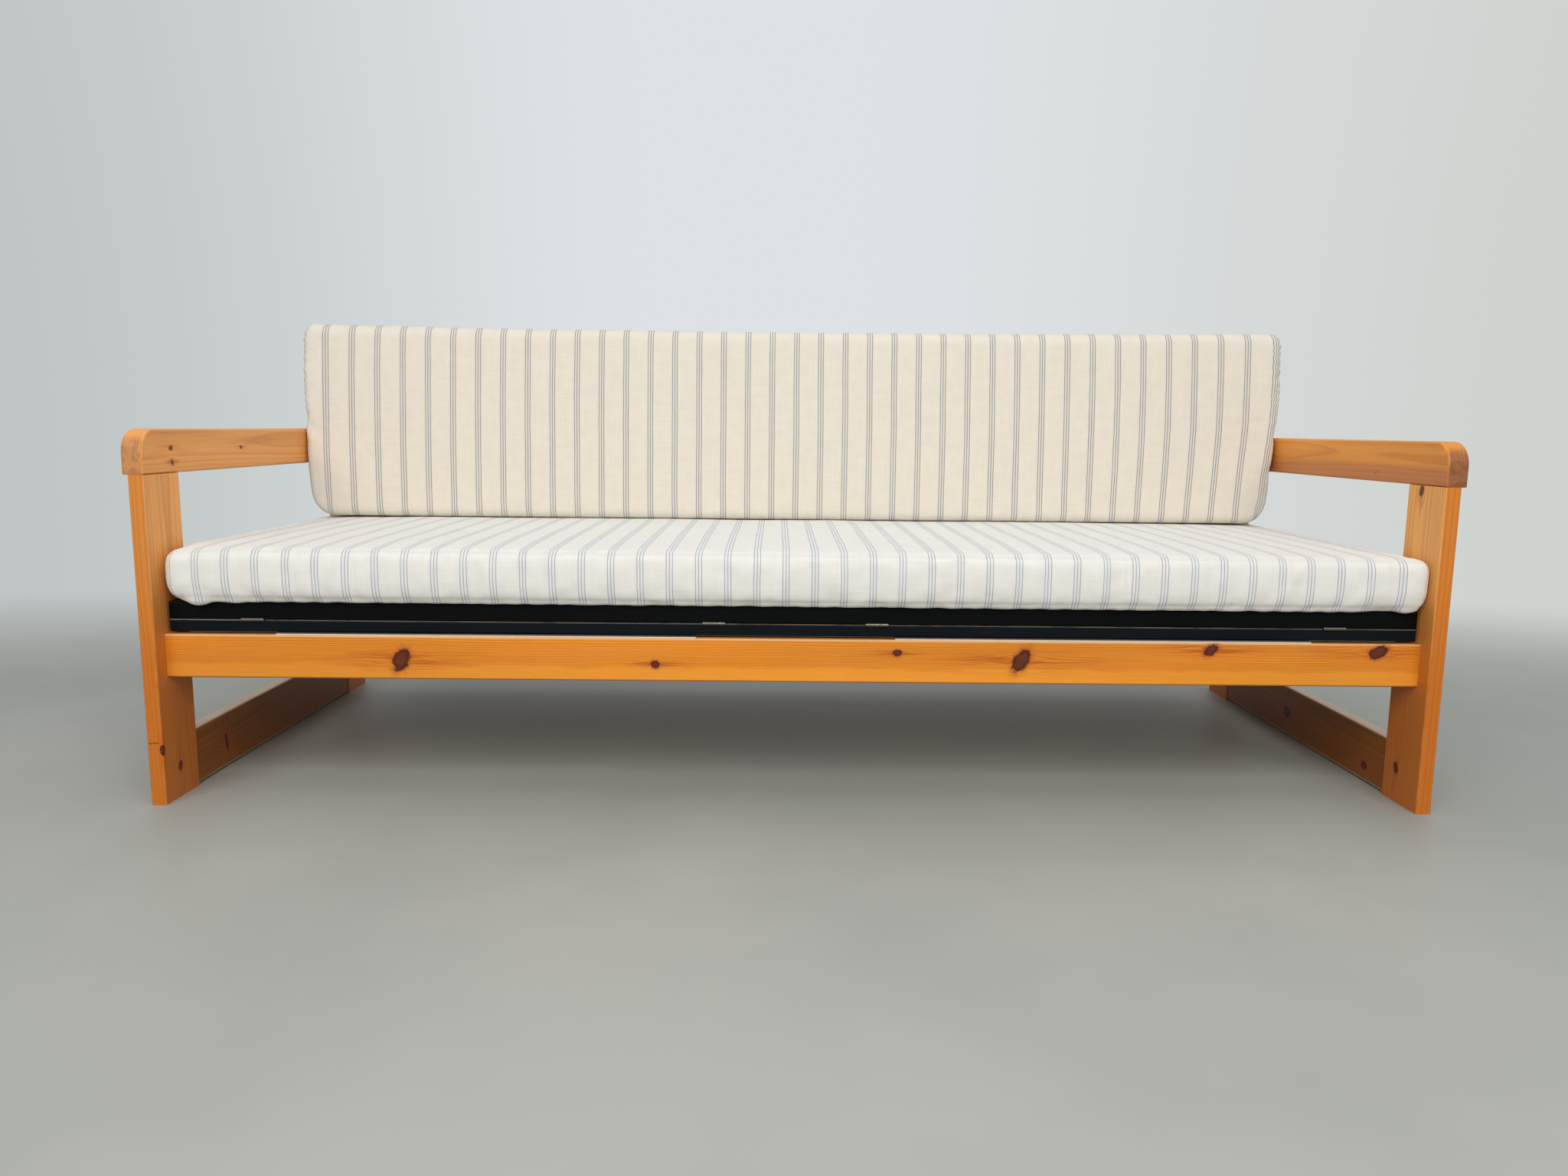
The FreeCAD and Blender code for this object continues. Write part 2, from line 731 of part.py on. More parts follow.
def build():
    """Every piece of the bench bed, by name."""
    parts = {}
    bolts, nuts, rail_holes = rail_joinery()
    for side, name in ((-1, "left"), (1, "right")):
        for (low, high), place in zip(leg_y_ranges(), ("front", "rear")):
            parts[name + "_" + place + "_leg"] = leg(side, low, high, rail_holes)
        parts[name + "_arm"] = arm(side, rail_holes)
        parts[name + "_side_rail"] = side_rail(side)
        parts["glide_strip_" + name] = glide_strip(side)
    parts["front_rail"] = long_rail(front_rail_y, front_rail_top, rail_holes)
    parts["rear_rail"] = long_rail(rear_rail_y, front_rail_top, rail_holes)
    parts["back_rest_rail"] = long_rail(rear_rail_y, rest_rail_top, rail_holes)
    parts["rail_bolts"] = group(bolts)
    parts["rail_barrel_nuts"] = group(nuts)
    parts["fixed_slats"] = group(fixed_slats())
    parts["rear_bearer"] = rear_bearer()
    parts["rear_ledge"] = rear_ledge()
    upper, lower, pins, mortises = hinge_solids()
    parts.update(pull_out_frame(mortises))
    parts["hinge_upper_leaves"] = group(upper)
    parts["hinge_lower_leaves"] = group(lower)
    parts["hinge_pins"] = group(pins)
    parts["leg_pivot_bolts"] = group(pivot_hardware()[0])
    for side, name in ((-1, "left"), (1, "right")):
        for piece, shape in leg_frame(side).items():
            parts[name + "_folding_leg_" + piece] = shape
    parts["seat_mattress"] = seat_mattress()
    parts["back_mattress"] = back_mattress()
    return parts


os.makedirs("parts", exist_ok=True)
print("pull-out travel", round(pull_out_travel, 1), "leg pivot", round(pivot_y, 2), round(pivot_z, 2))
for node, shape in build().items():
    shape.exportStep("parts/" + node + ".step")
    print(node, len(shape.Solids), "solids", round(shape.Volume / 1000.0, 1), "cm3", shape.isValid())
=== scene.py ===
import math
from functools import partialmethod

import bpy
import numpy as np
from mathutils import Matrix, Vector, noise


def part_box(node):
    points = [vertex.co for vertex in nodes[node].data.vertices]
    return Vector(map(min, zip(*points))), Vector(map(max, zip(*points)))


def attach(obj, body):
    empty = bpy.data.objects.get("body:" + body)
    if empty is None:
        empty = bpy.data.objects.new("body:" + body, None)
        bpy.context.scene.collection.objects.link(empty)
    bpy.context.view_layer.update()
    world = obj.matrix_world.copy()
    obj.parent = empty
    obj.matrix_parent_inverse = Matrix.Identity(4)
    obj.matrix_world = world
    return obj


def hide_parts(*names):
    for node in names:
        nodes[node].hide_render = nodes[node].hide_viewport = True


# Looks of the pull-out bench bed. Metres. X runs along the bench, -Y is the side one sits down
# from, +Z is up and the floor is at zero.

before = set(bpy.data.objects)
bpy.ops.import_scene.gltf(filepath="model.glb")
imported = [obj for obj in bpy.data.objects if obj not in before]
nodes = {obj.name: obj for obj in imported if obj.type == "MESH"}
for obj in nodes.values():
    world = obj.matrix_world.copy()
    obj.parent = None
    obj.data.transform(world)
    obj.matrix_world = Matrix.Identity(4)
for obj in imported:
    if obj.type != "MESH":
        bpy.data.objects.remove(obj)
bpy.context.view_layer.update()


# Helpers

ORIGIN = (0.0, 0.0, 0.0)
NOTHING = {}


def srgb(red, green, blue):
    """A colour given as 0 to 255, in linear values with full alpha."""
    linear = []
    for part in (red, green, blue):
        share = part / 255
        linear.append(share / 12.92 if share <= 0.04045 else ((share + 0.055) / 1.055) ** 2.4)
    return (*linear, 1.0)


class Tree:
    """Adds nodes to a node tree. An input is a plain value or another node's output.

    A number linked to a vector or a colour stands for all of its parts."""

    def __init__(self, tree):
        self.tree = tree

    def put(self, socket, value):
        if isinstance(value, bpy.types.NodeSocket):
            self.tree.links.new(value, socket)
        elif value is not None:
            socket.default_value = value

    def fill(self, sockets, values):
        for key, value in values.items():
            self.put(sockets[key], value)

    def node(self, kind, inputs=NOTHING, **settings):
        made = self.tree.nodes.new(kind)
        for name, value in settings.items():
            setattr(made, name, value)
        self.fill(made.inputs, inputs)
        return made

    def math(self, operation, first, second=0.0):
        return self.node("ShaderNodeMath", {0: first, 1: second}, operation=operation).outputs[0]

    add = partialmethod(math, "ADD")
    sub = partialmethod(math, "SUBTRACT")
    mul = partialmethod(math, "MULTIPLY")
    div = partialmethod(math, "DIVIDE")
    least = partialmethod(math, "MINIMUM")
    most = partialmethod(math, "MAXIMUM")
    absolute = partialmethod(math, "ABSOLUTE")

    def vector(self, operation, first, second=ORIGIN):
        made = self.node("ShaderNodeVectorMath", {0: first, 1: second}, operation=operation)
        number = operation in ("LENGTH", "DISTANCE", "DOT_PRODUCT")
        return made.outputs["Value" if number else "Vector"]

    scaled = partialmethod(vector, "MULTIPLY")
    dot = partialmethod(vector, "DOT_PRODUCT")

    def split(self, vector):
        return self.node("ShaderNodeSeparateXYZ", {0: vector}).outputs[:]

    def join(self, first=0.0, second=0.0, third=0.0):
        return self.node("ShaderNodeCombineXYZ", {0: first, 1: second, 2: third}).outputs[0]

    def noise(self, vector, scale=1.0, detail=2.0, roughness=0.5):
        if isinstance(scale, tuple):
            vector = self.scaled(vector, scale)
            scale = 1.0
        inputs = {"Vector": vector, "Scale": scale, "Detail": detail, "Roughness": roughness}
        return self.node("ShaderNodeTexNoise", inputs).outputs[0]

    def smooth(self, value, low, high, start=0.0, end=1.0):
        inputs = {0: value, 1: low, 2: high, 3: start, 4: end}
        return self.node("ShaderNodeMapRange", inputs, interpolation_type="SMOOTHSTEP").outputs[0]

    def blend(self, share, first, second, mode="MIX"):
        made = self.node("ShaderNodeMix", data_type="RGBA", blend_type=mode)
        self.fill(made.inputs, {0: share, 6: first, 7: second})
        return made.outputs[2]

    def shade(self, colour, factor):
        return self.blend(1.0, colour, factor, "MULTIPLY")

    def bell(self, vector):
        """1 at the origin, falling to 0 all round."""
        return self.math("POWER", 2.718, self.mul(self.dot(vector, vector), -1.0))

    def place(self, kind="Object"):
        return self.node("ShaderNodeTexCoord").outputs[kind]

    def group(self, name, inputs):
        return self.node("ShaderNodeGroup", inputs, node_tree=bpy.data.node_groups[name]).outputs


def shader_group(name, inputs, outputs):
    """A new shader group: its tree, its given values and its results, by name."""
    tree = bpy.data.node_groups.new(name, "ShaderNodeTree")
    for label, value in inputs.items():
        kind = "NodeSocketFloat" if isinstance(value, float) else "NodeSocketVector"
        socket = tree.interface.new_socket(label, in_out="INPUT", socket_type=kind)
        socket.default_value = value
    for label in outputs:
        tree.interface.new_socket(label, in_out="OUTPUT", socket_type="NodeSocketFloat")
    return group_ends(tree)


def group_ends(tree):
    """A node group's tree, with its given values and its results by name."""
    given = tree.nodes.new("NodeGroupInput").outputs
    result = tree.nodes.new("NodeGroupOutput").inputs
    return Tree(tree), given, result


# Shared effects

def make_pine_grain():
    """Growth rings round a pith line along X, with fine fibres and slow changes of tone."""
    inputs = {"Vector": ORIGIN, "Ring Width": 0.003, "Wander": 0.006, "Flow": 0.0, "Seed": 0.0}
    t, given, result = shader_group("pine_grain", inputs, ("Late Wood", "Fibre", "Tone"))
    place = t.vector("ADD", given["Vector"], given["Seed"])
    slow = t.noise(place, (1.3, 9.0, 9.0))
    wander = t.mul(t.sub(slow, 0.5), given["Wander"])
    radius = t.vector("LENGTH", t.scaled(given["Vector"], (0.0, 1.0, 1.0)))
    radius = t.add(radius, t.add(wander, given["Flow"]))
    uneven = t.noise(t.join(t.mul(radius, 90.0), given["Seed"], 0.0), 1.0, 1.0)
    phase = t.add(t.div(radius, given["Ring Width"]), t.mul(uneven, 1.6))
    turn = t.math("FRACT", phase)
    late = t.mul(t.math("POWER", turn, 2.2), t.smooth(turn, 1.0, 0.86))
    fibre = t.noise(place, (14.0, 900.0, 900.0), 3.0, 0.6)
    tone = t.noise(place, (0.9, 16.0, 16.0))
    t.fill(result, {"Late Wood": late, "Fibre": fibre, "Tone": tone})


def make_knot():
    """One knot: a dark rim round a paler heart, with the rings and wisps that pass it."""
    inputs = {"Vector": ORIGIN, "Centre": ORIGIN, "Half Size": (0.02, 0.012, 0.03), "Tilt": 0.0,
              "Bend": 1.0, "Flow": 0.0, "Dark": 0.0, "Heart": 0.0, "Red": 0.0}
    t, given, result = shader_group("knot", inputs, ("Flow", "Dark", "Heart", "Red"))
    away = t.vector("SUBTRACT", given["Vector"], given["Centre"])
    inputs = {"Vector": away, "Angle": t.mul(given["Tilt"], -1.0)}
    turned = t.node("ShaderNodeVectorRotate", inputs, rotation_type="Z_AXIS").outputs[0]
    scaled = t.vector("DIVIDE", turned, given["Half Size"])
    rough = t.sub(t.noise(given["Vector"], 105.0, 3.0, 0.6), 0.5)
    ring = t.add(t.vector("LENGTH", scaled), t.mul(rough, 1.1))
    inside = t.smooth(ring, 1.15, 0.74)
    rim = t.smooth(t.absolute(t.sub(ring, 0.86)), 0.42, 0.0)
    dark = t.mul(inside, t.add(0.86, t.mul(rim, 0.14)))
    flecks = t.noise(given["Vector"], 280.0, 3.0, 0.65)
    heart = t.mul(t.smooth(ring, 0.8, 0.25), t.smooth(flecks, 0.4, 0.62, 0.0, 0.3))
    plain = t.vector("DIVIDE", away, given["Half Size"])
    across = t.split(plain)[1]
    fall = t.bell(t.scaled(plain, (0.36, 0.6, 0.5)))
    steep = t.add(t.mul(across, across), 0.5)
    side = t.div(across, t.math("SQRT", steep))
    wide = t.split(given["Half Size"])[1]
    push = t.mul(t.mul(side, fall), t.mul(wide, given["Bend"]))
    streaks = t.noise(given["Vector"], (9.0, 330.0, 330.0))
    wisps = t.smooth(streaks, 0.42, 0.62, 0.1, 0.85)
    wisps = t.mul(t.bell(t.scaled(plain, (0.2, 0.95, 1.0))), wisps)
    halo = t.mul(t.smooth(ring, 1.75, 0.95), 0.5)
    t.fill(result, {"Flow": t.add(given["Flow"], push), "Dark": t.most(given["Dark"], dark),
                    "Heart": t.most(given["Heart"], heart),
                    "Red": t.most(given["Red"], t.most(halo, wisps))})


def make_crack():
    """A short drying crack from one point to another."""
    inputs = {"Vector": ORIGIN, "Start": ORIGIN, "Reach": (0.02, 0.0, 0.0), "Width": 0.0006,
              "Dark": 0.0}
    t, given, result = shader_group("crack", inputs, ("Dark",))
    shaky = t.noise(given["Vector"], 190.0)
    moved = t.mul(t.sub(shaky, 0.5), 0.003)
    away = t.vector("SUBTRACT", given["Vector"], given["Start"])
    away = t.vector("ADD", away, moved)
    reach = given["Reach"]
    share = t.div(t.dot(away, reach), t.dot(reach, reach))
    share = t.least(t.most(share, 0.0), 1.0)
    nearest = t.scaled(reach, share)
    distance = t.vector("DISTANCE", away, nearest)
    t.put(result["Dark"], t.most(given["Dark"], t.smooth(distance, given["Width"], 0.0)))


def make_edge_wear():
    """How near a point of a box-shaped board is to one of its long edges, broken up by noise."""
    inputs = {"Vector": ORIGIN, "Low": ORIGIN, "High": (1.0, 1.0, 1.0), "Width": 0.004,
              "Patchiness": 0.5}
    t, given, result = shader_group("edge_wear", inputs, ("Edge", "Worn"))
    low = t.vector("SUBTRACT", given["Vector"], given["Low"])
    high = t.vector("SUBTRACT", given["High"], given["Vector"])
    a, b, c = t.split(t.vector("MINIMUM", low, high))
    middle = t.most(t.least(a, b), t.least(t.most(a, b), c))
    edge = t.smooth(middle, given["Width"], 0.0)
    patches = t.noise(given["Vector"], 35.0, 4.0, 0.65)
    broken = t.smooth(patches, t.mul(given["Patchiness"], 0.9), 0.75)
    t.fill(result, {"Edge": edge, "Worn": t.mul(edge, broken)})


def make_weave():
    """A plain weave over a cloth's own two directions, with thicker and thinner threads."""
    inputs = {"Along": 0.0, "Across": 0.0, "Thread": 0.0011}
    t, given, result = shader_group("weave", inputs, ("Height", "Slub", "Lint"))
    turn = 2 * math.pi
    u = t.div(given["Along"], given["Thread"])
    v = t.div(given["Across"], given["Thread"])
    warp = t.math("SINE", t.mul(u, turn))
    weft = t.math("SINE", t.mul(v, turn))
    cross = t.math("SINE", t.mul(t.add(u, v), turn / 2))
    over = t.add(t.mul(warp, weft), t.mul(cross, 0.4))
    flat = t.join(given["Along"], given["Across"], 0.0)
    threads_down = t.noise(flat, (700.0, 9.0, 1.0))
    threads_across = t.noise(flat, (9.0, 700.0, 1.0))
    lint = t.noise(flat, 38.0, 4.0, 0.6)
    t.fill(result, {"Height": t.add(over, t.mul(threads_down, 0.8)),
                    "Slub": t.mul(t.add(threads_down, threads_across), 0.5), "Lint": lint})


def make_stripes():
    """Three thin lines with a faint band between them, repeated along a cloth."""
    inputs = {"Along": 0.0, "Pitch": 0.05, "Spread": 0.0045, "Line": 0.0011}
    t, given, result = shader_group("stripes", inputs, ("Lines", "Band"))
    turn = t.math("FRACT", t.div(given["Along"], given["Pitch"]))
    local = t.mul(t.sub(turn, 0.5), given["Pitch"])
    away = t.absolute(local)
    beside = t.absolute(t.sub(away, given["Spread"]))
    nearest = t.least(away, beside)
    soft = t.mul(given["Line"], 1.4)
    lines = t.smooth(nearest, soft, t.mul(given["Line"], 0.4))
    outer = t.add(given["Spread"], soft)
    band = t.smooth(away, outer, given["Spread"])
    t.fill(result, {"Lines": lines, "Band": band})


# Materials

def new_material(name):
    """The tree of a new material."""
    material = bpy.data.materials.new(name)
    material.use_nodes = True
    t = Tree(material.node_tree)
    t.material = material
    return t


def surface(t, colour, rough, relief=None, others=NOTHING):
    """Finishes a new material. relief is a height, the metres it stands for and its strength."""
    shader = t.tree.nodes["Principled BSDF"].inputs
    t.fill(shader, {"Base Color": colour, "Roughness": rough, **others})
    if relief:
        bump = dict(zip(("Height", "Distance", "Strength"), relief))
        t.put(shader["Normal"], t.node("ShaderNodeBump", bump).outputs[0])
    return t.material


def in_order(order, parts):
    """The parts of a point along a board's grain, across its wide face and through it."""
    return [parts["xyz".index(letter)] for letter in order]


def board_place(t, order, centre):
    """Object coordinates, and the same turned so that X runs along the grain."""
    place = t.place()
    turned = t.join(*in_order(order, t.split(place)))
    return place, t.vector("SUBTRACT", turned, in_order(order, centre))


def apart(order, start, end):
    """From one point to another, in a board's own order."""
    return [b - a for a, b in zip(in_order(order, start), in_order(order, end))]


PINE_LIGHT = srgb(236, 147, 40)
PINE_DARK = srgb(192, 95, 18)
PINE_YELLOW = srgb(242, 154, 46)
KNOT_DARK = srgb(66, 12, 2)
KNOT_HEART = srgb(96, 33, 16)
KNOT_RED = srgb(176, 74, 20)
PINE_WORN = srgb(238, 184, 112)
PINE_END = srgb(132, 66, 34)
END_BLOTCH = srgb(96, 52, 34)
GROOVE = srgb(48, 20, 8)


def wood_marks(t, board, order, middle, bend, knots, cracks):
    """Knots and cracks of one board, given in the frame's own coordinates."""
    marks = {"Flow": 0.0, "Dark": 0.0, "Heart": 0.0, "Red": 0.0}
    for centre, half_size, tilt in knots:
        inputs = {"Vector": board, "Centre": apart(order, middle, centre),
                  "Half Size": half_size, "Tilt": tilt, "Bend": bend}
        made = t.group("knot", inputs | marks)
        marks = {name: made[name] for name in marks}
    split = 0.0
    for start, end, width in cracks:
        inputs = {"Vector": board, "Start": apart(order, middle, start),
                  "Reach": apart(order, start, end), "Width": width, "Dark": split}
        split = t.group("crack", inputs)["Dark"]
    return marks, split


def pine_grain(t, board, pith, ring_width, wander, seed, flow=0.0):
    """The grain's results for a board whose rings have their middle at pith, across and through."""
    from_pith = t.vector("SUBTRACT", board, (0.0, *pith))
    return t.group("pine_grain", {"Vector": from_pith, "Ring Width": ring_width,
                                  "Wander": wander, "Flow": flow, "Seed": seed})


def uneven_tone(t, colour, grain, darkest, palest, palest_fibre):
    """A colour varied by the slow changes and the fibres of the grain."""
    tone = t.smooth(grain["Tone"], 0.3, 0.7, darkest, palest)
    return t.shade(colour, t.mul(tone, t.smooth(grain["Fibre"], 0.3, 0.7, 0.92, palest_fibre)))


def dress_pine(node, order, pith, ring_width, wander, light=PINE_LIGHT, dark=PINE_DARK,
               contrast=0.75, end_colour=PINE_END, end_share=0.5, knots=(), cracks=(), seed=0.0,
               stain_and_shade=None, plain_below=None, arris=None, front_tint=None, top_glare_and_dust=None):
    """Gives one board aged, clear-lacquered pine of its own.

    order names the axes along the grain, across the wide face and through the board. pith is where
    the rings' middle lies, across and through. A knot is (centre, half size, tilt)."""
    t = new_material("pine_" + node)
    low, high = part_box(node)
    centre = (low + high) / 2
    place, board = board_place(t, order, centre)
    bend = 1.0 if pith[0] > 0 else -1.0
    marks, split = wood_marks(t, board, order, centre, bend, knots, cracks)
    grain = pine_grain(t, board, pith, ring_width, wander, seed, marks["Flow"])
    wear = t.group("edge_wear", {"Vector": place, "Low": low, "High": high,
                                 "Width": 0.0045, "Patchiness": 0.45})
    z = t.split(place)[2]
    late = t.mul(grain["Late Wood"], contrast)
    base = light
    if plain_below:
        wave = t.noise(place, (7.0, 0.0, 0.0), 3.0, 0.6)
        edge = t.add(z, t.mul(t.sub(wave, 0.5), 0.03))
        calm = t.smooth(edge, plain_below + 0.004, plain_below - 0.004)
        late = t.mul(late, t.sub(1.0, t.mul(calm, 0.8)))
        base = t.blend(calm, light, PINE_YELLOW)
    colour = t.blend(late, base, dark)
    colour = uneven_tone(t, colour, grain, 0.87, 1.06, 1.04)
    normal = t.split(t.place("Normal"))
    if front_tint:
        tint, tint_share = front_tint
        ahead = t.smooth(normal[1], -0.6, -0.9, 0.0, tint_share)
        lines = t.sub(1.0, t.mul(late, 0.35))
        colour = t.blend(ahead, colour, t.shade(tint, lines))
    # Darker colour below a height: a real stain on the right arm, and painted shade on the lower
    # legs.
    if stain_and_shade:
        stain_and_shade_low, stain_and_shade_high, stain_and_shade_colour, stain_and_shade_share = stain_and_shade
        cloud = t.mul(t.sub(grain["Tone"], 0.5), 0.02)
        soft = t.smooth(t.add(z, cloud), stain_and_shade_high, stain_and_shade_low, 0.0, stain_and_shade_share)
        lines = t.sub(1.0, t.mul(late, 0.3))
        colour = t.blend(soft, colour, t.shade(stain_and_shade_colour, lines))
    colour = t.blend(t.mul(wear["Worn"], 0.25), colour, PINE_WORN)
    # Top faces made paler: a painted highlight of glare on the lacquer, with some dust.
    if top_glare_and_dust:
        tint, tint_share = top_glare_and_dust
        colour = t.blend(t.smooth(normal[2], 0.6, 0.9, 0.0, tint_share), colour, tint)
    # Arris colours are painted light: a painted highlight along the top arris; along the foot, a
    # painted shadow line on the front rail and, on the side rails, a pale line that stands in for
    # the lit floor seen under them.
    if arris:
        arris_top_highlight, arris_foot_painted_light = arris
        above = t.mul(wear["Edge"], t.smooth(z, high.z - 0.006, high.z - 0.0022))
        below = t.mul(wear["Edge"], t.smooth(z, low.z + 0.005, low.z + 0.0018))
        colour = t.blend(t.mul(above, 0.8), colour, arris_top_highlight)
        colour = t.blend(t.mul(below, 0.7), colour, arris_foot_painted_light)
    colour = t.blend(marks["Red"], colour, KNOT_RED)
    colour = t.blend(marks["Dark"], colour, KNOT_DARK)
    colour = t.blend(marks["Heart"], colour, KNOT_HEART)
    if cracks:
        colour = t.blend(split, colour, GROOVE)
    facing = in_order(order, normal)[0]
    end = t.smooth(t.absolute(facing), 0.55, 0.95, 0.0, end_share)
    rings = t.mul(t.sub(1.0, grain["Late Wood"]), 0.2)
    cut = t.blend(rings, end_colour, light)
    blotches = t.smooth(t.noise(place, 75.0, 3.0, 0.6), 0.42, 0.62, 0.0, 0.5)
    cut = t.blend(blotches, cut, END_BLOTCH)
    colour = t.blend(end, colour, cut)
    rough = t.add(t.smooth(grain["Fibre"], 0.2, 0.8, 0.36, 0.48), t.mul(wear["Worn"], 0.15))
    height = t.mul(t.add(grain["Fibre"], grain["Late Wood"]), 0.5)
    height = t.sub(height, t.mul(marks["Dark"], 0.6))
    gloss = {"Coat Weight": 0.10, "Coat Roughness": 0.25, "Specular IOR Level": 0.28}
    dress(surface(t, colour, rough, (height, 0.0004, 0.5), gloss), node)


def bare_pine(name, order, seed):
    """Planed, unfinished pine for the slats, runners and battens inside."""
    t = new_material(name)
    board = board_place(t, order, ORIGIN)[1]
    grain = pine_grain(t, board, (-0.11, -0.06), 0.0028, 0.02, seed)
    late = t.mul(grain["Late Wood"], 0.6)
    colour = t.blend(late, srgb(226, 192, 142), srgb(188, 138, 84))
    colour = uneven_tone(t, colour, grain, 0.88, 1.08, 1.05)
    rough = t.smooth(grain["Fibre"], 0.2, 0.8, 0.55, 0.75)
    height = t.add(grain["Fibre"], t.mul(grain["Late Wood"], 0.4))
    return surface(t, colour, rough, (height, 0.0005, 0.6))


def dress_black(name, node, body_colour, dust_colour, arris_colour, arris_share, bright_end=None):
    """Gives a board satin black paint, worn to the wood along its upper front arris."""
    t = new_material(name)
    low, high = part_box(node)
    place, board = board_place(t, "xzy", (low + high) / 2)
    grain = pine_grain(t, board, (0.09, 0.05), 0.0035, 0.012, 3.1)
    scuff = t.noise(place, (5.0, 60.0, 60.0), 5.0, 0.7)
    dust = t.noise(place, 9.0, 3.0, 0.6)
    colour = t.blend(t.smooth(dust, 0.4, 0.8, 0.0, 0.3), body_colour, dust_colour)
    colour = t.blend(t.smooth(scuff, 0.62, 0.8, 0.0, 0.25), colour, srgb(58, 58, 58))
    colour = t.blend(t.mul(grain["Late Wood"], 0.3), colour, srgb(6, 8, 8))
    x, y, z = t.split(place)
    front = t.sub(y, low.y)
    top = t.sub(high.z, z)
    away = t.most(front, top)
    patches = t.noise(place, (22.0, 200.0, 200.0), 4.0, 0.65)
    arris = t.mul(t.smooth(away, 0.0026, 0.0009), t.smooth(patches, 0.3, 0.55, 0.25, 1.0))
    arris = t.mul(arris, arris_share)
    if bright_end:
        lit = t.smooth(x, bright_end + 0.02, bright_end - 0.02, 1.0, 1.7)
        arris = t.least(t.mul(arris, lit), 1.0)
    colour = t.blend(arris, colour, arris_colour)
    rough = t.smooth(scuff, 0.3, 0.8, 0.46, 0.66)
    height = t.add(t.mul(grain["Fibre"], 0.4), t.mul(grain["Late Wood"], 0.7))
    dress(surface(t, colour, rough, (height, 0.0005, 0.6), {"Specular IOR Level": 0.07}), node)


def dull_steel(name, base, tint_share):
    """Plated steel gone dull, with specks of tarnish and traces of use."""
    t = new_material(name)
    place = t.place()
    tarnish = t.noise(place, 320.0, 5.0, 0.7)
    brushed = t.noise(place, (60.0, 1800.0, 1800.0))
    colour = t.blend(t.smooth(tarnish, 0.45, 0.7, 0.0, tint_share), base, srgb(92, 82, 72))
    rough = t.smooth(tarnish, 0.3, 0.7, 0.34, 0.55)
    return surface(t, colour, rough, (brushed, 0.00004, 0.5), {"Metallic": 1.0})


def white_nylon():
    """The off-white glide strips, rubbed along their length."""
    t = new_material("white_glide")
    place = t.place()
    rubbed = t.noise(place, (900.0, 14.0, 400.0), 3.0, 0.6)
    grime = t.noise(place, 60.0, 4.0, 0.65)
    colour = t.blend(t.smooth(grime, 0.5, 0.8, 0.0, 0.4), srgb(222, 208, 188), srgb(186, 168, 140))
    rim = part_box("glide_strip_left")[1].z
    # A dark band along the top of the strips: painted shade under the black board, with some paint
    # smear.
    smear_and_shade = t.smooth(t.split(place)[2], rim - 0.0017, rim - 0.0010, 0.0, 0.9)
    colour = t.blend(smear_and_shade, colour, srgb(30, 30, 30))
    return surface(t, colour, t.smooth(rubbed, 0.3, 0.7, 0.32, 0.5), (rubbed, 0.0001, 0.4))


def striped_cotton(name, ground, line_colour, band_share, line_share, pitch, spread, line):
    """Cream cotton with thin blue-grey lines in threes, driven by the cloth's own attributes."""
    t = new_material(name)
    along = t.node("ShaderNodeAttribute", attribute_name="along").outputs["Fac"]
    across = t.node("ShaderNodeAttribute", attribute_name="across").outputs["Fac"]
    weave = t.group("weave", {"Along": along, "Across": across, "Thread": 0.0012})
    slow = t.join(t.mul(across, 8.0), t.mul(along, 3.0), 0.0)
    wobble = t.noise(slow)
    drawn = t.add(along, t.mul(t.sub(wobble, 0.5), 0.0022))
    inputs = {"Along": drawn, "Pitch": pitch, "Spread": spread, "Line": line}
    stripes = t.group("stripes", inputs)
    slub = t.smooth(weave["Slub"], 0.35, 0.65, 0.96, 1.02)
    lint = t.smooth(weave["Lint"], 0.3, 0.7, 0.975, 1.015)
    colour = t.shade(ground, t.mul(slub, lint))
    colour = t.blend(t.mul(stripes["Band"], band_share), colour, line_colour)
    dyed = t.smooth(weave["Slub"], 0.3, 0.7, 0.7, 1.0)
    strength = t.mul(t.mul(stripes["Lines"], line_share), dyed)
    colour = t.blend(strength, colour, line_colour)
    return surface(t, colour, 0.88, (weave["Height"], 0.00018, 0.55),
                   {"Specular IOR Level": 0.25, "Sheen Weight": 0.12, "Sheen Roughness": 0.5})


# Mattresses

def lattice_surface(counts):
    """Lattice places and outward quads of a box surface with that many cells each way."""
    number = {}
    faces = []
    for u_axis, v_axis, level in ((0, 1, 2), (0, 2, 1), (1, 2, 0)):
        for u, v in np.ndindex(counts[u_axis], counts[v_axis]):
            for end in (0, counts[level]):
                quad = [(u, v), (u, v + 1), (u + 1, v + 1), (u + 1, v)]
                if (end > 0) != (level == 1):
                    quad = [quad[n] for n in (0, 3, 2, 1)]
                face = []
                for along_u, along_v in quad:
                    at = {u_axis: along_u, v_axis: along_v, level: end}
                    face.append(number.setdefault((at[0], at[1], at[2]), len(number)))
                faces.append(face)
    return np.array(list(number)), faces


def graded(half, cells, dense):
    """Places from -half to half, drawn closer together near both ends as dense grows."""
    share = np.linspace(-1.0, 1.0, cells + 1)
    return half * ((1 - dense) * share + dense * np.sin(share * math.pi / 2))


def unit(value):
    """Values kept between 0 and 1."""
    return np.clip(value, 0, 1)


def rounded(depth, height):
    """Shares of a square corner moved on to a quarter circle: 0 stays, 1 is the outer side."""
    size = np.maximum(depth, height)
    reach = np.sqrt(depth ** 2 + height ** 2)
    keep = np.where(reach > 1e-9, size / np.maximum(reach, 1e-9), 1.0)
    return depth * keep, height * keep


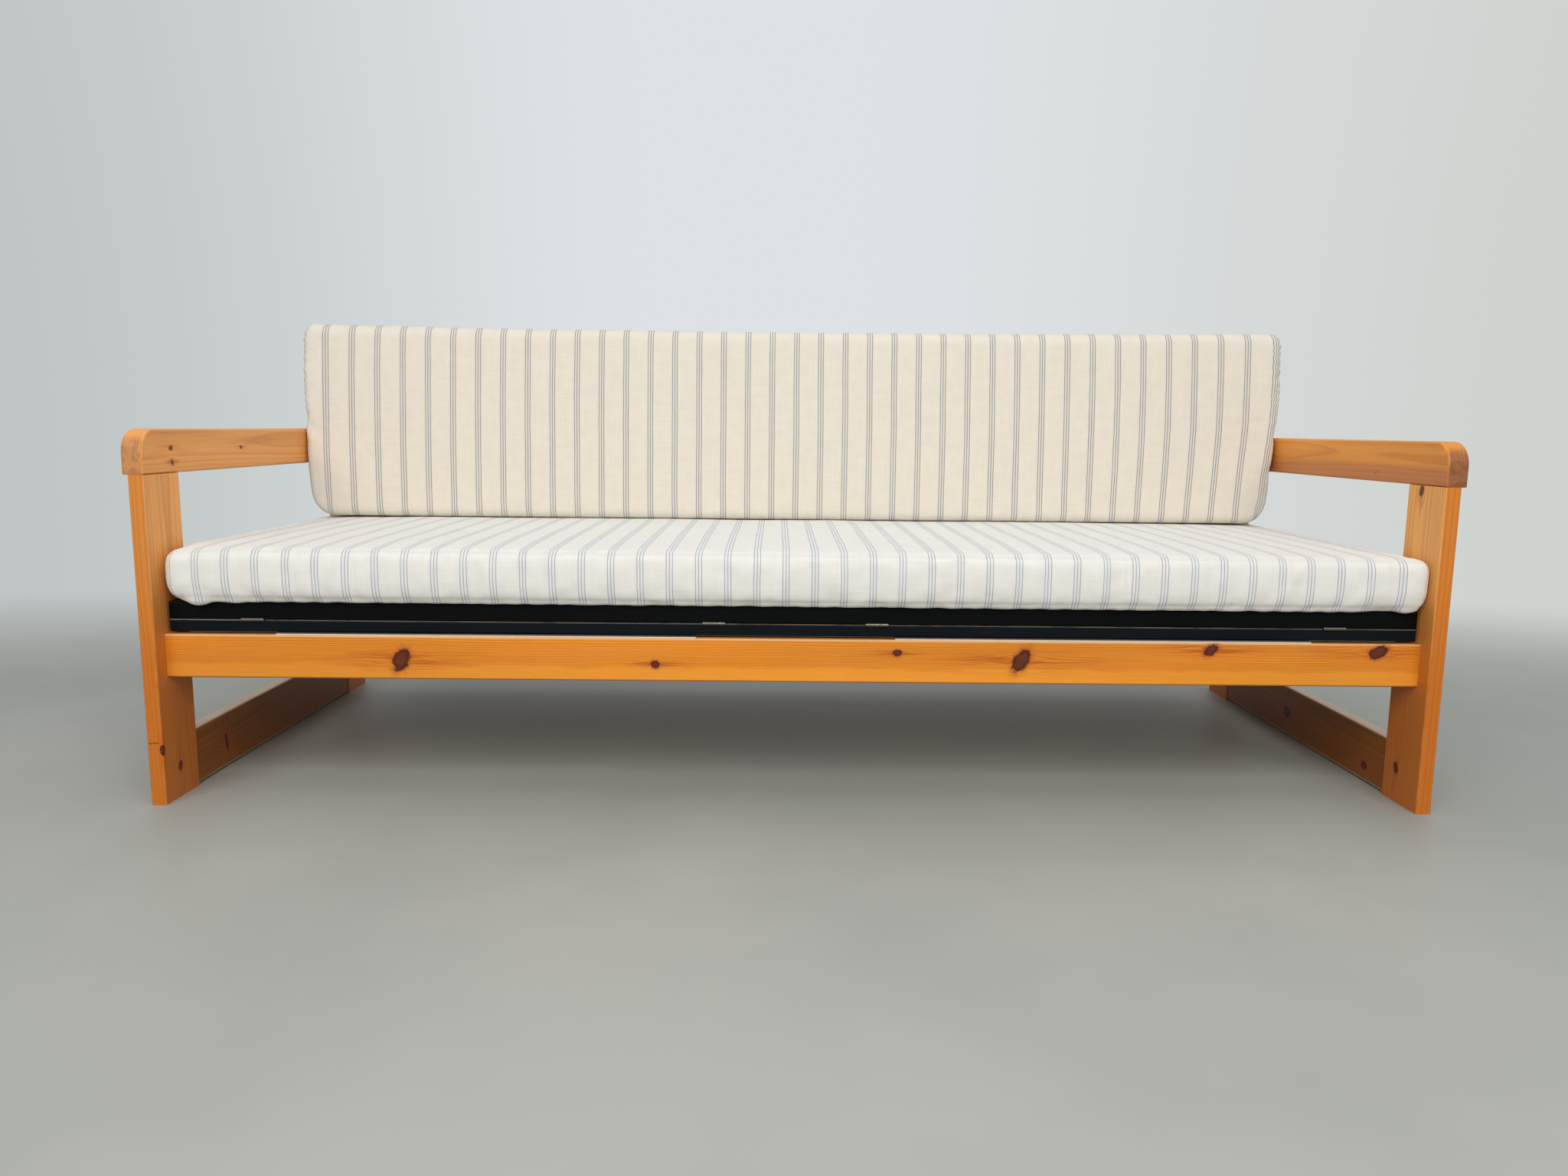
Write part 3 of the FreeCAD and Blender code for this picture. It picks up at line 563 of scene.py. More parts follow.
def soft_slab(half, cells, plan_radius, upper_edge, lower_edge, dense=(0.25, 0.25, 0.0)):
    """A slab with rounded corners in plan and soft edges, as points and quads.

    half is the half size along, across and through. An edge is (how far in, how far down)."""
    places, faces = lattice_surface(cells)
    axes = [graded(half[n], cells[n], dense[n]) for n in range(3)]
    flat = np.stack([axes[n][places[:, n]] for n in range(3)], axis=1)
    plan = flat[:, :2]
    t = flat[:, 2:]
    sides = np.array(half[:2])
    into = np.maximum(np.abs(plan) - (sides - plan_radius), 0.0) / plan_radius
    in_corner = (into > 0).all(axis=1, keepdims=True)
    into = np.stack(rounded(*into.T), axis=1)
    plan = np.where(into > 0, np.sign(plan) * (sides - plan_radius + into * plan_radius), plan)
    reach = np.linalg.norm(into, axis=1, keepdims=True)
    gap = sides - np.abs(plan)
    inward = np.where(in_corner, (1 - reach) * plan_radius, gap.min(axis=1, keepdims=True))
    x_nearer = gap[:, :1] <= gap[:, 1:]
    straight = np.hstack([x_nearer, ~x_nearer])
    outward = np.where(in_corner, into / np.maximum(reach, 1e-9), straight) * np.sign(plan)
    for sign, (wide, tall) in ((1, upper_edge), (-1, lower_edge)):
        deep = unit(1 - inward / wide)
        rise = unit((sign * t - (half[2] - tall)) / tall)
        both = (deep > 0) & (rise > 0)
        new_deep, new_rise = rounded(deep, rise)
        plan = plan - outward * np.where(both, (deep - new_deep) * wide, 0.0)
        t = np.where(both, sign * (half[2] - tall + new_rise * tall), t)
    return np.hstack([plan, t]), flat, faces


def mesh_object(name, points, faces, attributes=None):
    """A mesh object at the origin, with float attributes on its points."""
    mesh = bpy.data.meshes.new(name)
    mesh.from_pydata([tuple(p) for p in points], [], [tuple(f) for f in faces])
    for label, values in (attributes or {}).items():
        made = mesh.attributes.new(label, "FLOAT", "POINT")
        made.data.foreach_set("value", np.asarray(values, dtype=np.float32))
    mesh.polygons.foreach_set("use_smooth", [True] * len(mesh.polygons))
    return add_object(name, mesh)


def add_object(name, data):
    """A new object in the scene."""
    made = bpy.data.objects.new(name, data)
    bpy.context.scene.collection.objects.link(made)
    return made


def evaluated(piece):
    """A piece as its modifiers leave it."""
    return piece.evaluated_get(bpy.context.evaluated_depsgraph_get())


def points_of(mesh):
    """A mesh's points as an array."""
    flat = np.zeros(len(mesh.vertices) * 3, np.float32)
    mesh.vertices.foreach_get("co", flat)
    return flat.reshape(-1, 3).astype(float)


def set_points(mesh, points):
    """Moves a mesh's points."""
    mesh.vertices.foreach_set("co", np.asarray(points, dtype=np.float32).ravel())
    mesh.update()


CLOTH_FRAMES = 20


def settle_cover(piece, hold, cap, looseness):
    """Lets the cover relax round its foam as cloth, no point moving further than the cap."""
    start = points_of(piece.data)
    pins = piece.vertex_groups.new(name="foam")
    hold = np.round(hold, 2)
    for value in sorted(set(hold)):
        pins.add(np.nonzero(hold == value)[0].tolist(), float(value), "REPLACE")
    cloth = piece.modifiers.new("cover", "CLOTH")
    cloth.collision_settings.use_collision = False
    cloth.settings.effector_weights.gravity = 0
    for name, value in {
            "quality": 6, "mass": 0.25, "tension_stiffness": 25, "compression_stiffness": 25,
            "shear_stiffness": 8, "bending_stiffness": 0.6, "vertex_group_mass": "foam",
            "pin_stiffness": 1.0, "shrink_min": -looseness, "use_pressure": True,
            "uniform_pressure_force": 1.5}.items():
        setattr(cloth.settings, name, value)
    scene = bpy.context.scene
    for span in (scene, cloth.point_cache):
        span.frame_start = 1
        span.frame_end = CLOTH_FRAMES
    for number in range(1, CLOTH_FRAMES + 1):
        scene.frame_set(number)
    moved = points_of(evaluated(piece).data) - start
    length = np.linalg.norm(moved, axis=1, keepdims=True)
    moved *= np.minimum(1.0, cap / np.maximum(length, 1e-9))
    piece.modifiers.remove(cloth)
    scene.frame_set(1)
    piece.vertex_groups.clear()
    set_points(piece.data, start + moved)


def subdivide(piece):
    """Finishes a piece with a subdivision surface, applied."""
    piece.modifiers.new("finer", "SUBSURF").levels = 1
    mesh = bpy.data.meshes.new_from_object(evaluated(piece))
    piece.modifiers.clear()
    old = piece.data
    piece.data = mesh
    mesh.name = piece.name
    bpy.data.meshes.remove(old)


def bump_at(x, centre, width):
    """A soft bump from 0 to 1 along a line."""
    return np.exp(-((x - centre) / width) ** 2)


SEAT_PITCH = 0.0459
BACK_PITCH = 0.0510
SEAT_COUNT = (-0.2107, 0.0464, 21.9293, 20.3503)
BACK_COUNT = (-0.4988, -0.1638, 20.0651, 18.8616)
SEAT_STEP = (150, 56, 8)
BACK_STEP = (144, 70, 8)


def stripe_run(x, depth, count, pitch):
    """How far along the cloth a place is, by the stripes' own places and on down both ends."""
    at_end = np.abs(x) > x.max() - 1e-6
    beyond = np.where(at_end, np.sign(x) * depth, 0.0)
    return pitch * (np.polyval(count, x + beyond) + 0.5)


def uneven(points, scale, seed):
    """Soft, slow noise from -1 to 1 for points of a surface."""
    offset = Vector((seed, seed * 1.7, -seed))
    return np.array([noise.noise(Vector(point) * scale + offset) for point in points])


def seat_cover():
    """The seat mattress: a soft slab on the slats with its cover a little loose."""
    low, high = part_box("seat_mattress")
    half = (high - low) / 2 - Vector((0.004, 0.0015, 0.0))
    crown = 0.005
    half_through = half.z - crown / 2
    points, flat, faces = soft_slab((half.x, half.y, half_through), SEAT_STEP, 0.024,
                                    (0.017, 0.021), (0.026, 0.038))
    x, y, z = points.T
    dome = unit((1 - (x / half.x) ** 8) * (1 - (y / half.y) ** 4))
    z = z + np.where(z > 0, crown * dome, 0.0)
    centre = (low + high) / 2
    at_side = np.abs(flat[:, 1]) > half.y - 1e-6
    across = np.where(at_side, flat[:, 1] + flat[:, 2], flat[:, 1])
    along = stripe_run(flat[:, 0], half.z - np.abs(flat[:, 2]), SEAT_COUNT, SEAT_PITCH)
    place = np.stack([x + centre.x, y + centre.y, z + low.z + half_through], axis=1)
    piece = mesh_object("seat_cover", place, faces, {"along": along, "across": across})
    near_end = unit((np.abs(x) - (half.x - 0.10)) / 0.10)
    near_side = unit((np.abs(y) - (half.y - 0.06)) / 0.06)
    hold = 0.85 - 0.6 * np.maximum(near_end, near_side)
    hold = np.where(z < -half_through + 0.004, 1.0, hold)
    settle_cover(piece, hold, 0.003, 0.015)
    subdivide(piece)
    shape_seat_details(piece, low, high)
    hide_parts("seat_mattress")
    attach(piece, "seat_mattress")
    return piece


SEAT_FOLDS = ((-0.942, 0.020, 0.0115), (-0.885, 0.024, 0.003), (0.970, 0.022, 0.0065))


def shape_seat_details(piece, low, high):
    """Folds that hang over the black board near both ends, a tucked lower edge and slight dents."""
    points = points_of(piece.data)
    x, y, z = points.T
    board_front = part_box("upper_front_board")[0].y
    clear = unit((board_front - 0.001 - y) / 0.008)
    foot = unit((low.z + 0.024 - z) / 0.020)
    sag = sum(depth * bump_at(x, place, width) for place, width, depth in SEAT_FOLDS)
    near = unit((y - low.y) / 0.009)
    z = np.where(y > board_front - 0.001, np.maximum(z, low.z + 0.0006), z)
    z = z - sag * clear * foot * near
    y = y - sag * 0.35 * clear * foot
    inside = unit((0.93 - np.abs(x)) / 0.05)
    z = z - (0.0038 + 0.0012 * x) * clear * inside * unit((low.z + 0.05 - z) / 0.03)
    to_corner = np.sqrt((high.x - np.abs(x)) ** 2 + (y - low.y) ** 2)
    droop = unit(1 - to_corner / 0.10) ** 1.5
    rise = unit((z - low.z) / 0.09)
    left = x < 0
    z = z - np.where(left, 0.008, 0.003) * droop * rise
    belly = bump_at(rise, 0.42, 0.25)
    x = x + droop * np.where(left, 0.005 - 0.0015 * belly, 0.010)
    x = np.clip(x, low.x + 0.0005, high.x - 0.0005)
    tuck = 0.0022 * np.exp(-((z - low.z - 0.008) / 0.0026) ** 2)
    y = y + tuck * unit((low.y + 0.05 - y) / 0.03)
    face = unit((low.y + 0.04 - y) / 0.03)
    middle = bump_at(x, 0.0, 0.12) * bump_at(z, low.z + 0.045, 0.016)
    y = y + 0.0009 * np.sin(z * 2 * math.pi / 0.011 + 3.0 * np.sin(x * 23.0)) * face * middle
    upper = unit((z - high.z + 0.02) / 0.02)
    z = z + upper * (0.0013 * uneven(points, 5.0, 3.0) + 0.0006 * uneven(points, 14.0, 8.0))
    y = y + face * 0.0012 * uneven(points, 9.0, 5.0)
    set_points(piece.data, np.stack([x, y, z], axis=1))


BACK_LAYER = 0.098
BACK_SLIT = 0.012
BACK_DEPTH = 2 * BACK_LAYER + BACK_SLIT
BACK_FOLD = 0.021
BACK_LEAN = math.radians(5.0)
BACK_SAG = 0.006
BACK_CREASE = 0.80


def fold_path(height, crease, share):
    """Points of the folded mattress's outer line, forward and up, for shares of its top part."""
    radius = BACK_FOLD
    rise = height - radius - crease
    bend = radius * math.pi / 2
    level = BACK_DEPTH - 2 * radius
    total = 2 * rise + 2 * bend + level
    run = share * total
    climb = np.clip(run, 0, rise)
    first_turn = np.clip((run - rise) / radius, 0, math.pi / 2)
    across = np.clip(run - rise - bend, 0, level)
    second_turn = np.clip((run - rise - bend - level) / radius, 0, math.pi / 2)
    fall = np.clip(run - rise - 2 * bend - level, 0, rise)
    forward = radius * (1 - np.cos(first_turn)) + across + radius * np.sin(second_turn)
    up = crease + climb - fall + radius * (np.sin(first_turn) + np.cos(second_turn) - 1)
    return forward, up, total


def folded(points, height, crease, top_length):
    """Bends a flat slab double over its crease: how far forward and how far up each point comes."""
    s, t = points.T[1:]
    run = s + crease + top_length / 2
    outward = t / BACK_LAYER + 0.5
    share = unit((run - crease) / top_length)
    outer_f, outer_u = fold_path(height, crease, share)[:2]
    rear = run < crease
    front = run > crease + top_length
    outer_f = np.where(rear, 0.0, np.where(front, BACK_DEPTH, outer_f))
    outer_u = np.where(rear, run, np.where(front, 2 * crease + top_length - run, outer_u))
    angle = share * math.pi
    slit = BACK_SLIT / 2
    inner_f = BACK_LAYER + slit - slit * np.cos(angle)
    inner_u = crease + slit * np.sin(angle)
    inner_u = np.where(rear | front, outer_u, inner_u)
    forward = inner_f + (outer_f - inner_f) * outward
    up = inner_u + (outer_u - inner_u) * outward
    return forward, up, outward


def back_cover():
    """The back: a second mattress folded double, fold upwards, leaning on the rest rail."""
    low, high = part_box("back_mattress")
    height = high.z - low.z + 0.0045
    half_x = (high.x - low.x) / 2
    crease = height * BACK_CREASE
    top_length = fold_path(height, crease, 0.0)[2]
    half_s = crease + top_length / 2
    half_t = BACK_LAYER / 2
    points, flat, faces = soft_slab((half_x, half_s, half_t), BACK_STEP, 0.050,
                                    (0.013, 0.018), (0.010, 0.012), (0.25, 0.0, 0.0))
    forward, up, outward = folded(points, height, crease, top_length)
    x = points[:, 0]
    bulge = 0.006 * unit(1 - ((up - height / 2) / (height / 2)) ** 2)
    front_share = unit((forward - BACK_LAYER) / BACK_LAYER)
    forward = forward + bulge * front_share
    toward_end = unit((np.abs(x) / half_x - 0.7) / 0.3)
    low_part = unit(1 - up / (height * 0.42))
    at_edge = unit((np.abs(x) - half_x + 0.05) / 0.05)
    x = x - np.sign(x) * low_part ** 1.5 * (0.004 * toward_end + 0.009 * at_edge)
    right_end = unit((x - half_x + 0.16) / 0.16)
    x = x - 0.007 * right_end * unit((0.55 - up / height) / 0.28)
    x = x + 0.003 * right_end * unit((up / height - 0.55) / 0.4)
    over_arm = unit((up + low.z - 0.600) / 0.09) * unit((height - up) / 0.03)
    x = x + np.sign(x) * 0.004 * over_arm * at_edge
    top_part = unit(up / height - 0.5) * 2
    sag = BACK_SAG * (1 - (x / half_x) ** 2) * top_part
    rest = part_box("back_rest_rail")
    z = up + low.z
    y = rest[0].y - 0.0006 + (z - rest[1].z) * math.tan(BACK_LEAN) - forward
    z = z - sag
    along = stripe_run(flat[:, 0], half_t - flat[:, 2], BACK_COUNT, BACK_PITCH)
    slant = unit((0.5 - up / height) / 0.4) * unit((flat[:, 0] - 0.55) / 0.3)
    along = along + 0.007 * slant
    place = np.stack([x, y, z], axis=1)
    piece = mesh_object("back_cover", place, faces, {"along": along, "across": flat[:, 1]})
    near_end = unit((np.abs(x) - (half_x - 0.12)) / 0.12)
    hold = 0.85 - 0.55 * near_end
    hold = np.where((outward < 0.05) | (up < 0.004), 1.0, hold)
    settle_cover(piece, hold, 0.004, 0.015)
    subdivide(piece)
    shape_back_details(piece, low, high)
    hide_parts("back_mattress")
    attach(piece, "back_mattress")
    return piece


def shape_back_details(piece, low, high):
    """Fine gathers along both ends, strongest near the fold, and slight dents in the front."""
    points = points_of(piece.data)
    x, y, z = points.T
    height = high.z - low.z
    up = (z - low.z) / height
    edge = unit((np.abs(x) - (high.x - 0.034)) / 0.034)
    strength = 0.0013 * edge * (0.25 + 0.75 * unit((up - 0.45) / 0.35))
    ripple = np.sin(z * 2 * math.pi / 0.0118 + 2.2 * np.sin(z * 61.0) + x * 8.0)
    x = x + np.sign(x) * strength * ripple
    front = unit((low.y + 0.10 - y) / 0.06)
    y = y - strength * 0.8 * ripple
    y = y + front * (0.0014 * uneven(points, 5.0, 2.0) + 0.0006 * uneven(points, 15.0, 6.0))
    z = z + unit((up - 0.85) / 0.15) * 0.0012 * uneven(points, 7.0, 4.0)
    set_points(piece.data, np.stack([x, y, z], axis=1))


# Camera, light, stage

PHOTO_WIDTH = 2048
FOCAL_PIXELS = 1442.45


def photo_camera():
    """The camera at the photograph's viewing angle."""
    data = bpy.data.cameras.new("camera")
    data.sensor_fit = "HORIZONTAL"
    data.sensor_width = 36.0
    data.lens = data.sensor_width * FOCAL_PIXELS / PHOTO_WIDTH
    camera = add_object("camera", data)
    turn = Matrix.Translation((-0.0320, -2.129, 0.6058))
    for degrees, axis in ((-0.43, "Z"), (90 - 8.26, "X"), (0.57, "Z")):
        turn @= Matrix.Rotation(math.radians(degrees), 4, axis)
    camera.matrix_world = turn
    bpy.context.scene.camera = camera


def soft_light(name, place, aim, size, power, colour):
    """One large area lamp that looks at a point."""
    data = bpy.data.lights.new(name, "AREA")
    data.shape = "RECTANGLE"
    data.size = size[0]
    data.size_y = size[1]
    data.energy = power
    data.color = colour
    lamp = add_object(name, data)
    lamp.location = place
    lamp.rotation_euler = (Vector(aim) - Vector(place)).to_track_quat("-Z", "Y").to_euler()


WALL = srgb(222, 226, 230)
WALL_LEFT = srgb(190, 196, 195)
WALL_RIGHT = srgb(206, 210, 206)
FLOOR = srgb(173, 174, 168)
FLOOR_DARK = srgb(163, 166, 160)


def studio():
    """A pale floor that fades into a pale surround, and soft lamps in front and above."""
    world = bpy.data.worlds.new("surround")
    bpy.context.scene.world = world
    world.use_nodes = True
    t = Tree(world.node_tree)
    background = world.node_tree.nodes["Background"]
    path = t.node("ShaderNodeLightPath").outputs
    mirrored = t.most(path["Is Glossy Ray"], path["Is Transmission Ray"])
    seen = t.most(path["Is Camera Ray"], mirrored)
    sideways = t.split(t.place("Generated"))[0]
    # The surround is darker toward the left and right: painted shade on the backdrop.
    wall = t.blend(t.smooth(sideways, -0.1, -0.62), WALL, WALL_LEFT)
    wall = t.blend(t.smooth(sideways, 0.05, 0.65), wall, WALL_RIGHT)
    t.fill(background.inputs, {"Color": t.blend(seen, srgb(240, 244, 250), wall),
                               "Strength": t.add(0.27, t.mul(seen, 0.73))})
    floor_radius = 9.0
    corners = 48
    angles = [2 * math.pi * n / corners for n in range(corners)]
    rim = [(floor_radius * math.cos(a), floor_radius * math.sin(a), 0.0) for a in angles]
    faces = [(0, n + 1, (n + 1) % corners + 1) for n in range(corners)]
    floor = mesh_object("floor", [ORIGIN] + rim, faces)
    t = new_material("pale_floor")
    place = t.place()
    cloudy = t.noise(place, 1.1, 4.0, 0.6)
    colour = t.blend(t.smooth(cloudy, 0.35, 0.65), FLOOR, FLOOR_DARK)
    from_middle = t.vector("ADD", place, (0.0, 0.7, 0.0))
    distance = t.vector("LENGTH", t.scaled(from_middle, (0.58, 1.0, 1.0)))
    clear = t.smooth(distance, 3.0, 1.4)
    pale = surface(t, colour, 0.5, None, {"Specular IOR Level": 0.25, "Alpha": clear})
    floor.data.materials.append(pale)
    soft_light("key", (-0.2, -3.5, 2.55), (0.0, 0.0, 0.42), (5.4, 2.2), 146.0, (1.0, 0.985, 0.96))
    soft_light("overhead", (0.3, 0.1, 3.4), (0.0, 0.0, 0.3), (4.4, 3.2), 46.0, (0.98, 0.99, 1.0))


# Screws

def spans(node, axis):
    """The stretches along one axis that a node's faces cover, one for each separate piece."""
    mesh = nodes[node].data
    ends = sorted((min(mesh.vertices[v].co[axis] for v in face.vertices),
                   max(mesh.vertices[v].co[axis] for v in face.vertices)) for face in mesh.polygons)
    found = []
    for start, end in ends:
        if found and start <= found[-1][1] + 0.0005:
            found[-1][1] = max(found[-1][1], end)
        else:
            found.append([start, end])
    return found


def screw_head(diameter, dome, sides=20):
    """A flat screw head that faces up, centred on its rim, with a cross recess."""
    radius = diameter / 2
    circles = (1.0, 0.94, 0.62, 0.46, 0.3, 0.14)
    points = [(0.0, 0.0, -0.25 * radius)]
    for share in circles:
        for number in range(sides):
            angle = 2 * math.pi * (number + 0.5) / sides
            x = radius * share * math.cos(angle)
            y = radius * share * math.sin(angle)
            level = 0.0 if share == 1.0 else dome * (1 - share ** 2 * 0.6)
            in_arm = min(abs(x), abs(y)) < 0.13 * radius and share < 0.6
            points.append((x, y, level - (0.32 * radius if in_arm or share < 0.2 else 0.0)))
    pairs = [(n, (n + 1) % sides) for n in range(sides)]
    starts = [1 + row * sides for row in range(len(circles))]
    faces = [(a + n, a + m, b + m, b + n) for a, b in zip(starts, starts[1:]) for n, m in pairs]
    faces += [(starts[-1] + n, starts[-1] + m, 0) for n, m in pairs]
    return mesh_object("screw_head", points, faces)


def copies_group(facing, material, seed):
    """Geometry nodes that put a head on every point, each turned about its own axis."""
    tree = bpy.data.node_groups.new("screw_copies", "GeometryNodeTree")
    for label, way, kind in (("Places", "INPUT", "Geometry"), ("Head", "INPUT", "Object"),
                             ("Result", "OUTPUT", "Geometry")):
        tree.interface.new_socket(label, in_out=way, socket_type="NodeSocket" + kind)
    t, given, result = group_ends(tree)
    head = t.node("GeometryNodeObjectInfo", {"Object": given["Head"]}).outputs["Geometry"]
    turns = {0: ORIGIN, 1: (0.0, 0.0, 2 * math.pi), "Seed": seed}
    spin = t.node("FunctionNodeRandomValue", turns, data_type="FLOAT_VECTOR").outputs[0]
    inputs = {"Points": given["Places"], "Instance": head, "Rotation": facing}
    placed = t.node("GeometryNodeInstanceOnPoints", inputs).outputs[0]
    inputs = {"Instances": placed, "Rotation": spin, "Local Space": True}
    turned = t.node("GeometryNodeRotateInstances", inputs).outputs[0]
    real = t.node("GeometryNodeRealizeInstances", {"Geometry": turned}).outputs[0]
    dressed = t.node("GeometryNodeSetMaterial", {"Geometry": real, "Material": material})
    t.put(result["Result"], dressed.outputs[0])
    return tree


def screws(name, places, facing, material, body, seed):
    """Screw heads at the given places on one body, as one piece."""
    head = screw_head(0.008, 0.0002)
    holder = mesh_object(name + "_places", places, [])
    copies = holder.modifiers.new("copies", "NODES")
    copies.node_group = copies_group(facing, material, seed)
    copies[copies.node_group.interface.items_tree["Head"].identifier] = head
    mesh = bpy.data.meshes.new_from_object(evaluated(holder))
    mesh.name = name
    piece = add_object(name, mesh)
    for spare in (holder, head):
        old = spare.data
        bpy.data.objects.remove(spare)
        bpy.data.meshes.remove(old)
    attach(piece, body)
    return piece


def all_screws(material):
    """Screws through the slat ends, the ledge, the bearer and the stop blocks."""
    proud = 0.0001
    up = ORIGIN
    forward = (math.pi / 2, 0.0, 0.0)
    down = (math.pi, 0.0, 0.0)
    rows = (
        ("fixed_slat_screws", "fixed_slats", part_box("rear_bearer"), "bench", 3),
        ("sliding_slat_screws", "sliding_slats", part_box("runner_rear_board"), "pull_out_frame", 4),
    )
    for name, slats, (rest_low, rest_high), body, seed in rows:
        y = (rest_low.y + rest_high.y) / 2
        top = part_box(slats)[1].z + proud
        places = [(start + (end - start) * share, y, top)
                  for start, end in spans(slats, 0) for share in (0.28, 0.72)]
        screws(name, places, up, material, body, seed=seed)
    ledge_low, ledge_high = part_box("rear_ledge")
    ledge_z = (ledge_low.z + ledge_high.z) / 2
    count = 8
    inset = 0.06
    step = (ledge_high.x - ledge_low.x - 2 * inset) / (count - 1)
    places = [(ledge_low.x + inset + step * n, ledge_low.y - proud, ledge_z) for n in range(count)]
    screws("ledge_screws", places, forward, material, "bench", seed=5)
    stop_low, stop_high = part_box("stop_blocks")
    stop_y = (stop_low.y + stop_high.y) / 2
    places = [((start + end) / 2, stop_y, stop_low.z - proud)
              for start, end in spans("stop_blocks", 0)]
    screws("stop_block_screws", places, down, material, "pull_out_frame", seed=6)


# Dressing

def cover_with(piece, material):
    """Gives a piece its one material."""
    piece.data.materials.clear()
    piece.data.materials.append(material)


def dress(material, *names):
    """Gives CAD nodes their material."""
    for name in names:
        cover_with(nodes[name], material)


LEFT_ARM = (srgb(237, 163, 87), srgb(199, 115, 47))
RIGHT_ARM = (srgb(233, 152, 60), srgb(196, 104, 32))
LEFT_LEG = (srgb(246, 174, 98), srgb(208, 116, 42))
RIGHT_LEG = (srgb(250, 180, 98), srgb(210, 120, 42))
LEFT_FRONT = (srgb(212, 124, 36), 0.75)
RIGHT_FRONT = (srgb(212, 118, 28), 0.85)
SIDE_RAIL = (srgb(152, 87, 15), srgb(108, 55, 7))
# Side rail arrises: a painted highlight on top; the pale foot line is painted light of the floor
# seen through the gap beneath.
SIDE_ARRIS_PAINTED_LIGHT = (srgb(240, 214, 184), srgb(236, 226, 200))
# Pale top faces of the side rails: a painted highlight of glare, with some dust.
SIDE_TOP_GLARE_AND_DUST = (srgb(238, 214, 188), 0.8)
# Lower legs darker and more orange toward the floor: painted shade under the seat.
LOWER_LEG_SHADE = (0.18, 0.44, srgb(202, 110, 28), 0.9)


def dress_long_rails():
    """The front rail with its row of knots, and the two rails behind."""
    front = -0.401
    knots = (
        ((-0.6276, front, 0.2336), (0.0190, 0.0138, 0.05), 1.05),
        ((-0.2231, front, 0.2296), (0.0078, 0.0068, 0.05), 0.0),
        ((0.1628, front, 0.2516), (0.0076, 0.0062, 0.05), 0.2),
        ((0.3615, front, 0.2415), (0.0215, 0.0125, 0.05), 0.99),
        ((0.6646, front, 0.2609), (0.0140, 0.0095, 0.05), 0.5),
        ((0.9325, front, 0.2595), (0.0168, 0.0100, 0.05), 0.35),
    )
    # Painted highlight along the top arris, painted shadow along the foot arris.
    rail_arris_highlight_and_shade = (srgb(226, 190, 148), srgb(120, 66, 22))
    dress_pine("front_rail", "xzy", (0.085, 0.035), 0.0030, 0.010, contrast=0.82, knots=knots,
               seed=1.7, plain_below=0.226, arris=rail_arris_highlight_and_shade)
    back = 0.387
    rear_knots = (((0.4, back, 0.24), (0.010, 0.008, 0.05), 0.3),)
    dress_pine("rear_rail", "xzy", (-0.06, -0.05), 0.0034, 0.014, knots=rear_knots, seed=5.2)
    rest_knots = (((-0.5, back, 0.55), (0.011, 0.008, 0.05), 0.4),)
    dress_pine("back_rest_rail", "xzy", (0.07, -0.04), 0.0034, 0.014, knots=rest_knots, seed=7.9)


def dress_end(side, sign, leg, contrast, front_tint, knots, cracks, rear_knot, rail_knots, seed):
    """Legs and side rail of one end. Their rings' middles lie mirrored, by sign."""
    dress_pine(side + "_front_leg", "zyx", (0.012, 0.05 * sign), 0.0045, 0.020, *leg, contrast,
               knots=knots, cracks=cracks, seed=seed, stain_and_shade=LOWER_LEG_SHADE, front_tint=front_tint)
    dress_pine(side + "_rear_leg", "zyx", (-0.02, -0.05 * sign), 0.0042, 0.018, *leg, 0.6,
               knots=(rear_knot,), seed=seed + 1, stain_and_shade=LOWER_LEG_SHADE)
    dress_pine(side + "_side_rail", "yzx", (0.03, -0.04 * sign), 0.0040, 0.016, *SIDE_RAIL, 0.6,
               knots=rail_knots, seed=seed + 2, arris=SIDE_ARRIS_PAINTED_LIGHT, top_glare_and_dust=SIDE_TOP_GLARE_AND_DUST)


def dress_left_end():
    """Arm, legs and side rail of the left end."""
    inside = -1.0
    arm_knots = (
        ((inside, -0.3459, 0.5642), (0.0058, 0.0040, 0.02), 0.1),
        ((inside, -0.3444, 0.5411), (0.0036, 0.0050, 0.02), 0.4),
        ((inside, -0.1136, 0.5614), (0.0040, 0.0032, 0.02), 0.0),
    )
    dress_pine("left_arm", "yzx", (0.012, -0.045), 0.0042, 0.016, *LEFT_ARM, 0.6,
               srgb(180, 124, 84), 0.75, arm_knots, seed=2.3)
    leg_knots = (
        ((inside, -0.3821, 0.0506), (0.0085, 0.0060, 0.03), 0.2),
        ((inside, -0.4290, 0.0900), (0.0085, 0.0055, 0.0045), 0.0),
    )
    cracks = (((-1.0217, -0.430, 0.1018), (-1.0060, -0.430, 0.1019), 0.0014),)
    rear_knot = ((inside, 0.38, 0.3), (0.008, 0.006, 0.03), 0.0)
    rail_knots = (((-1.002, -0.2267, 0.0468), (0.0050, 0.0180, 0.02), 0.25),)
    dress_end("left", 1, LEFT_LEG, 0.6, LEFT_FRONT, leg_knots, cracks, rear_knot, rail_knots, 3.3)


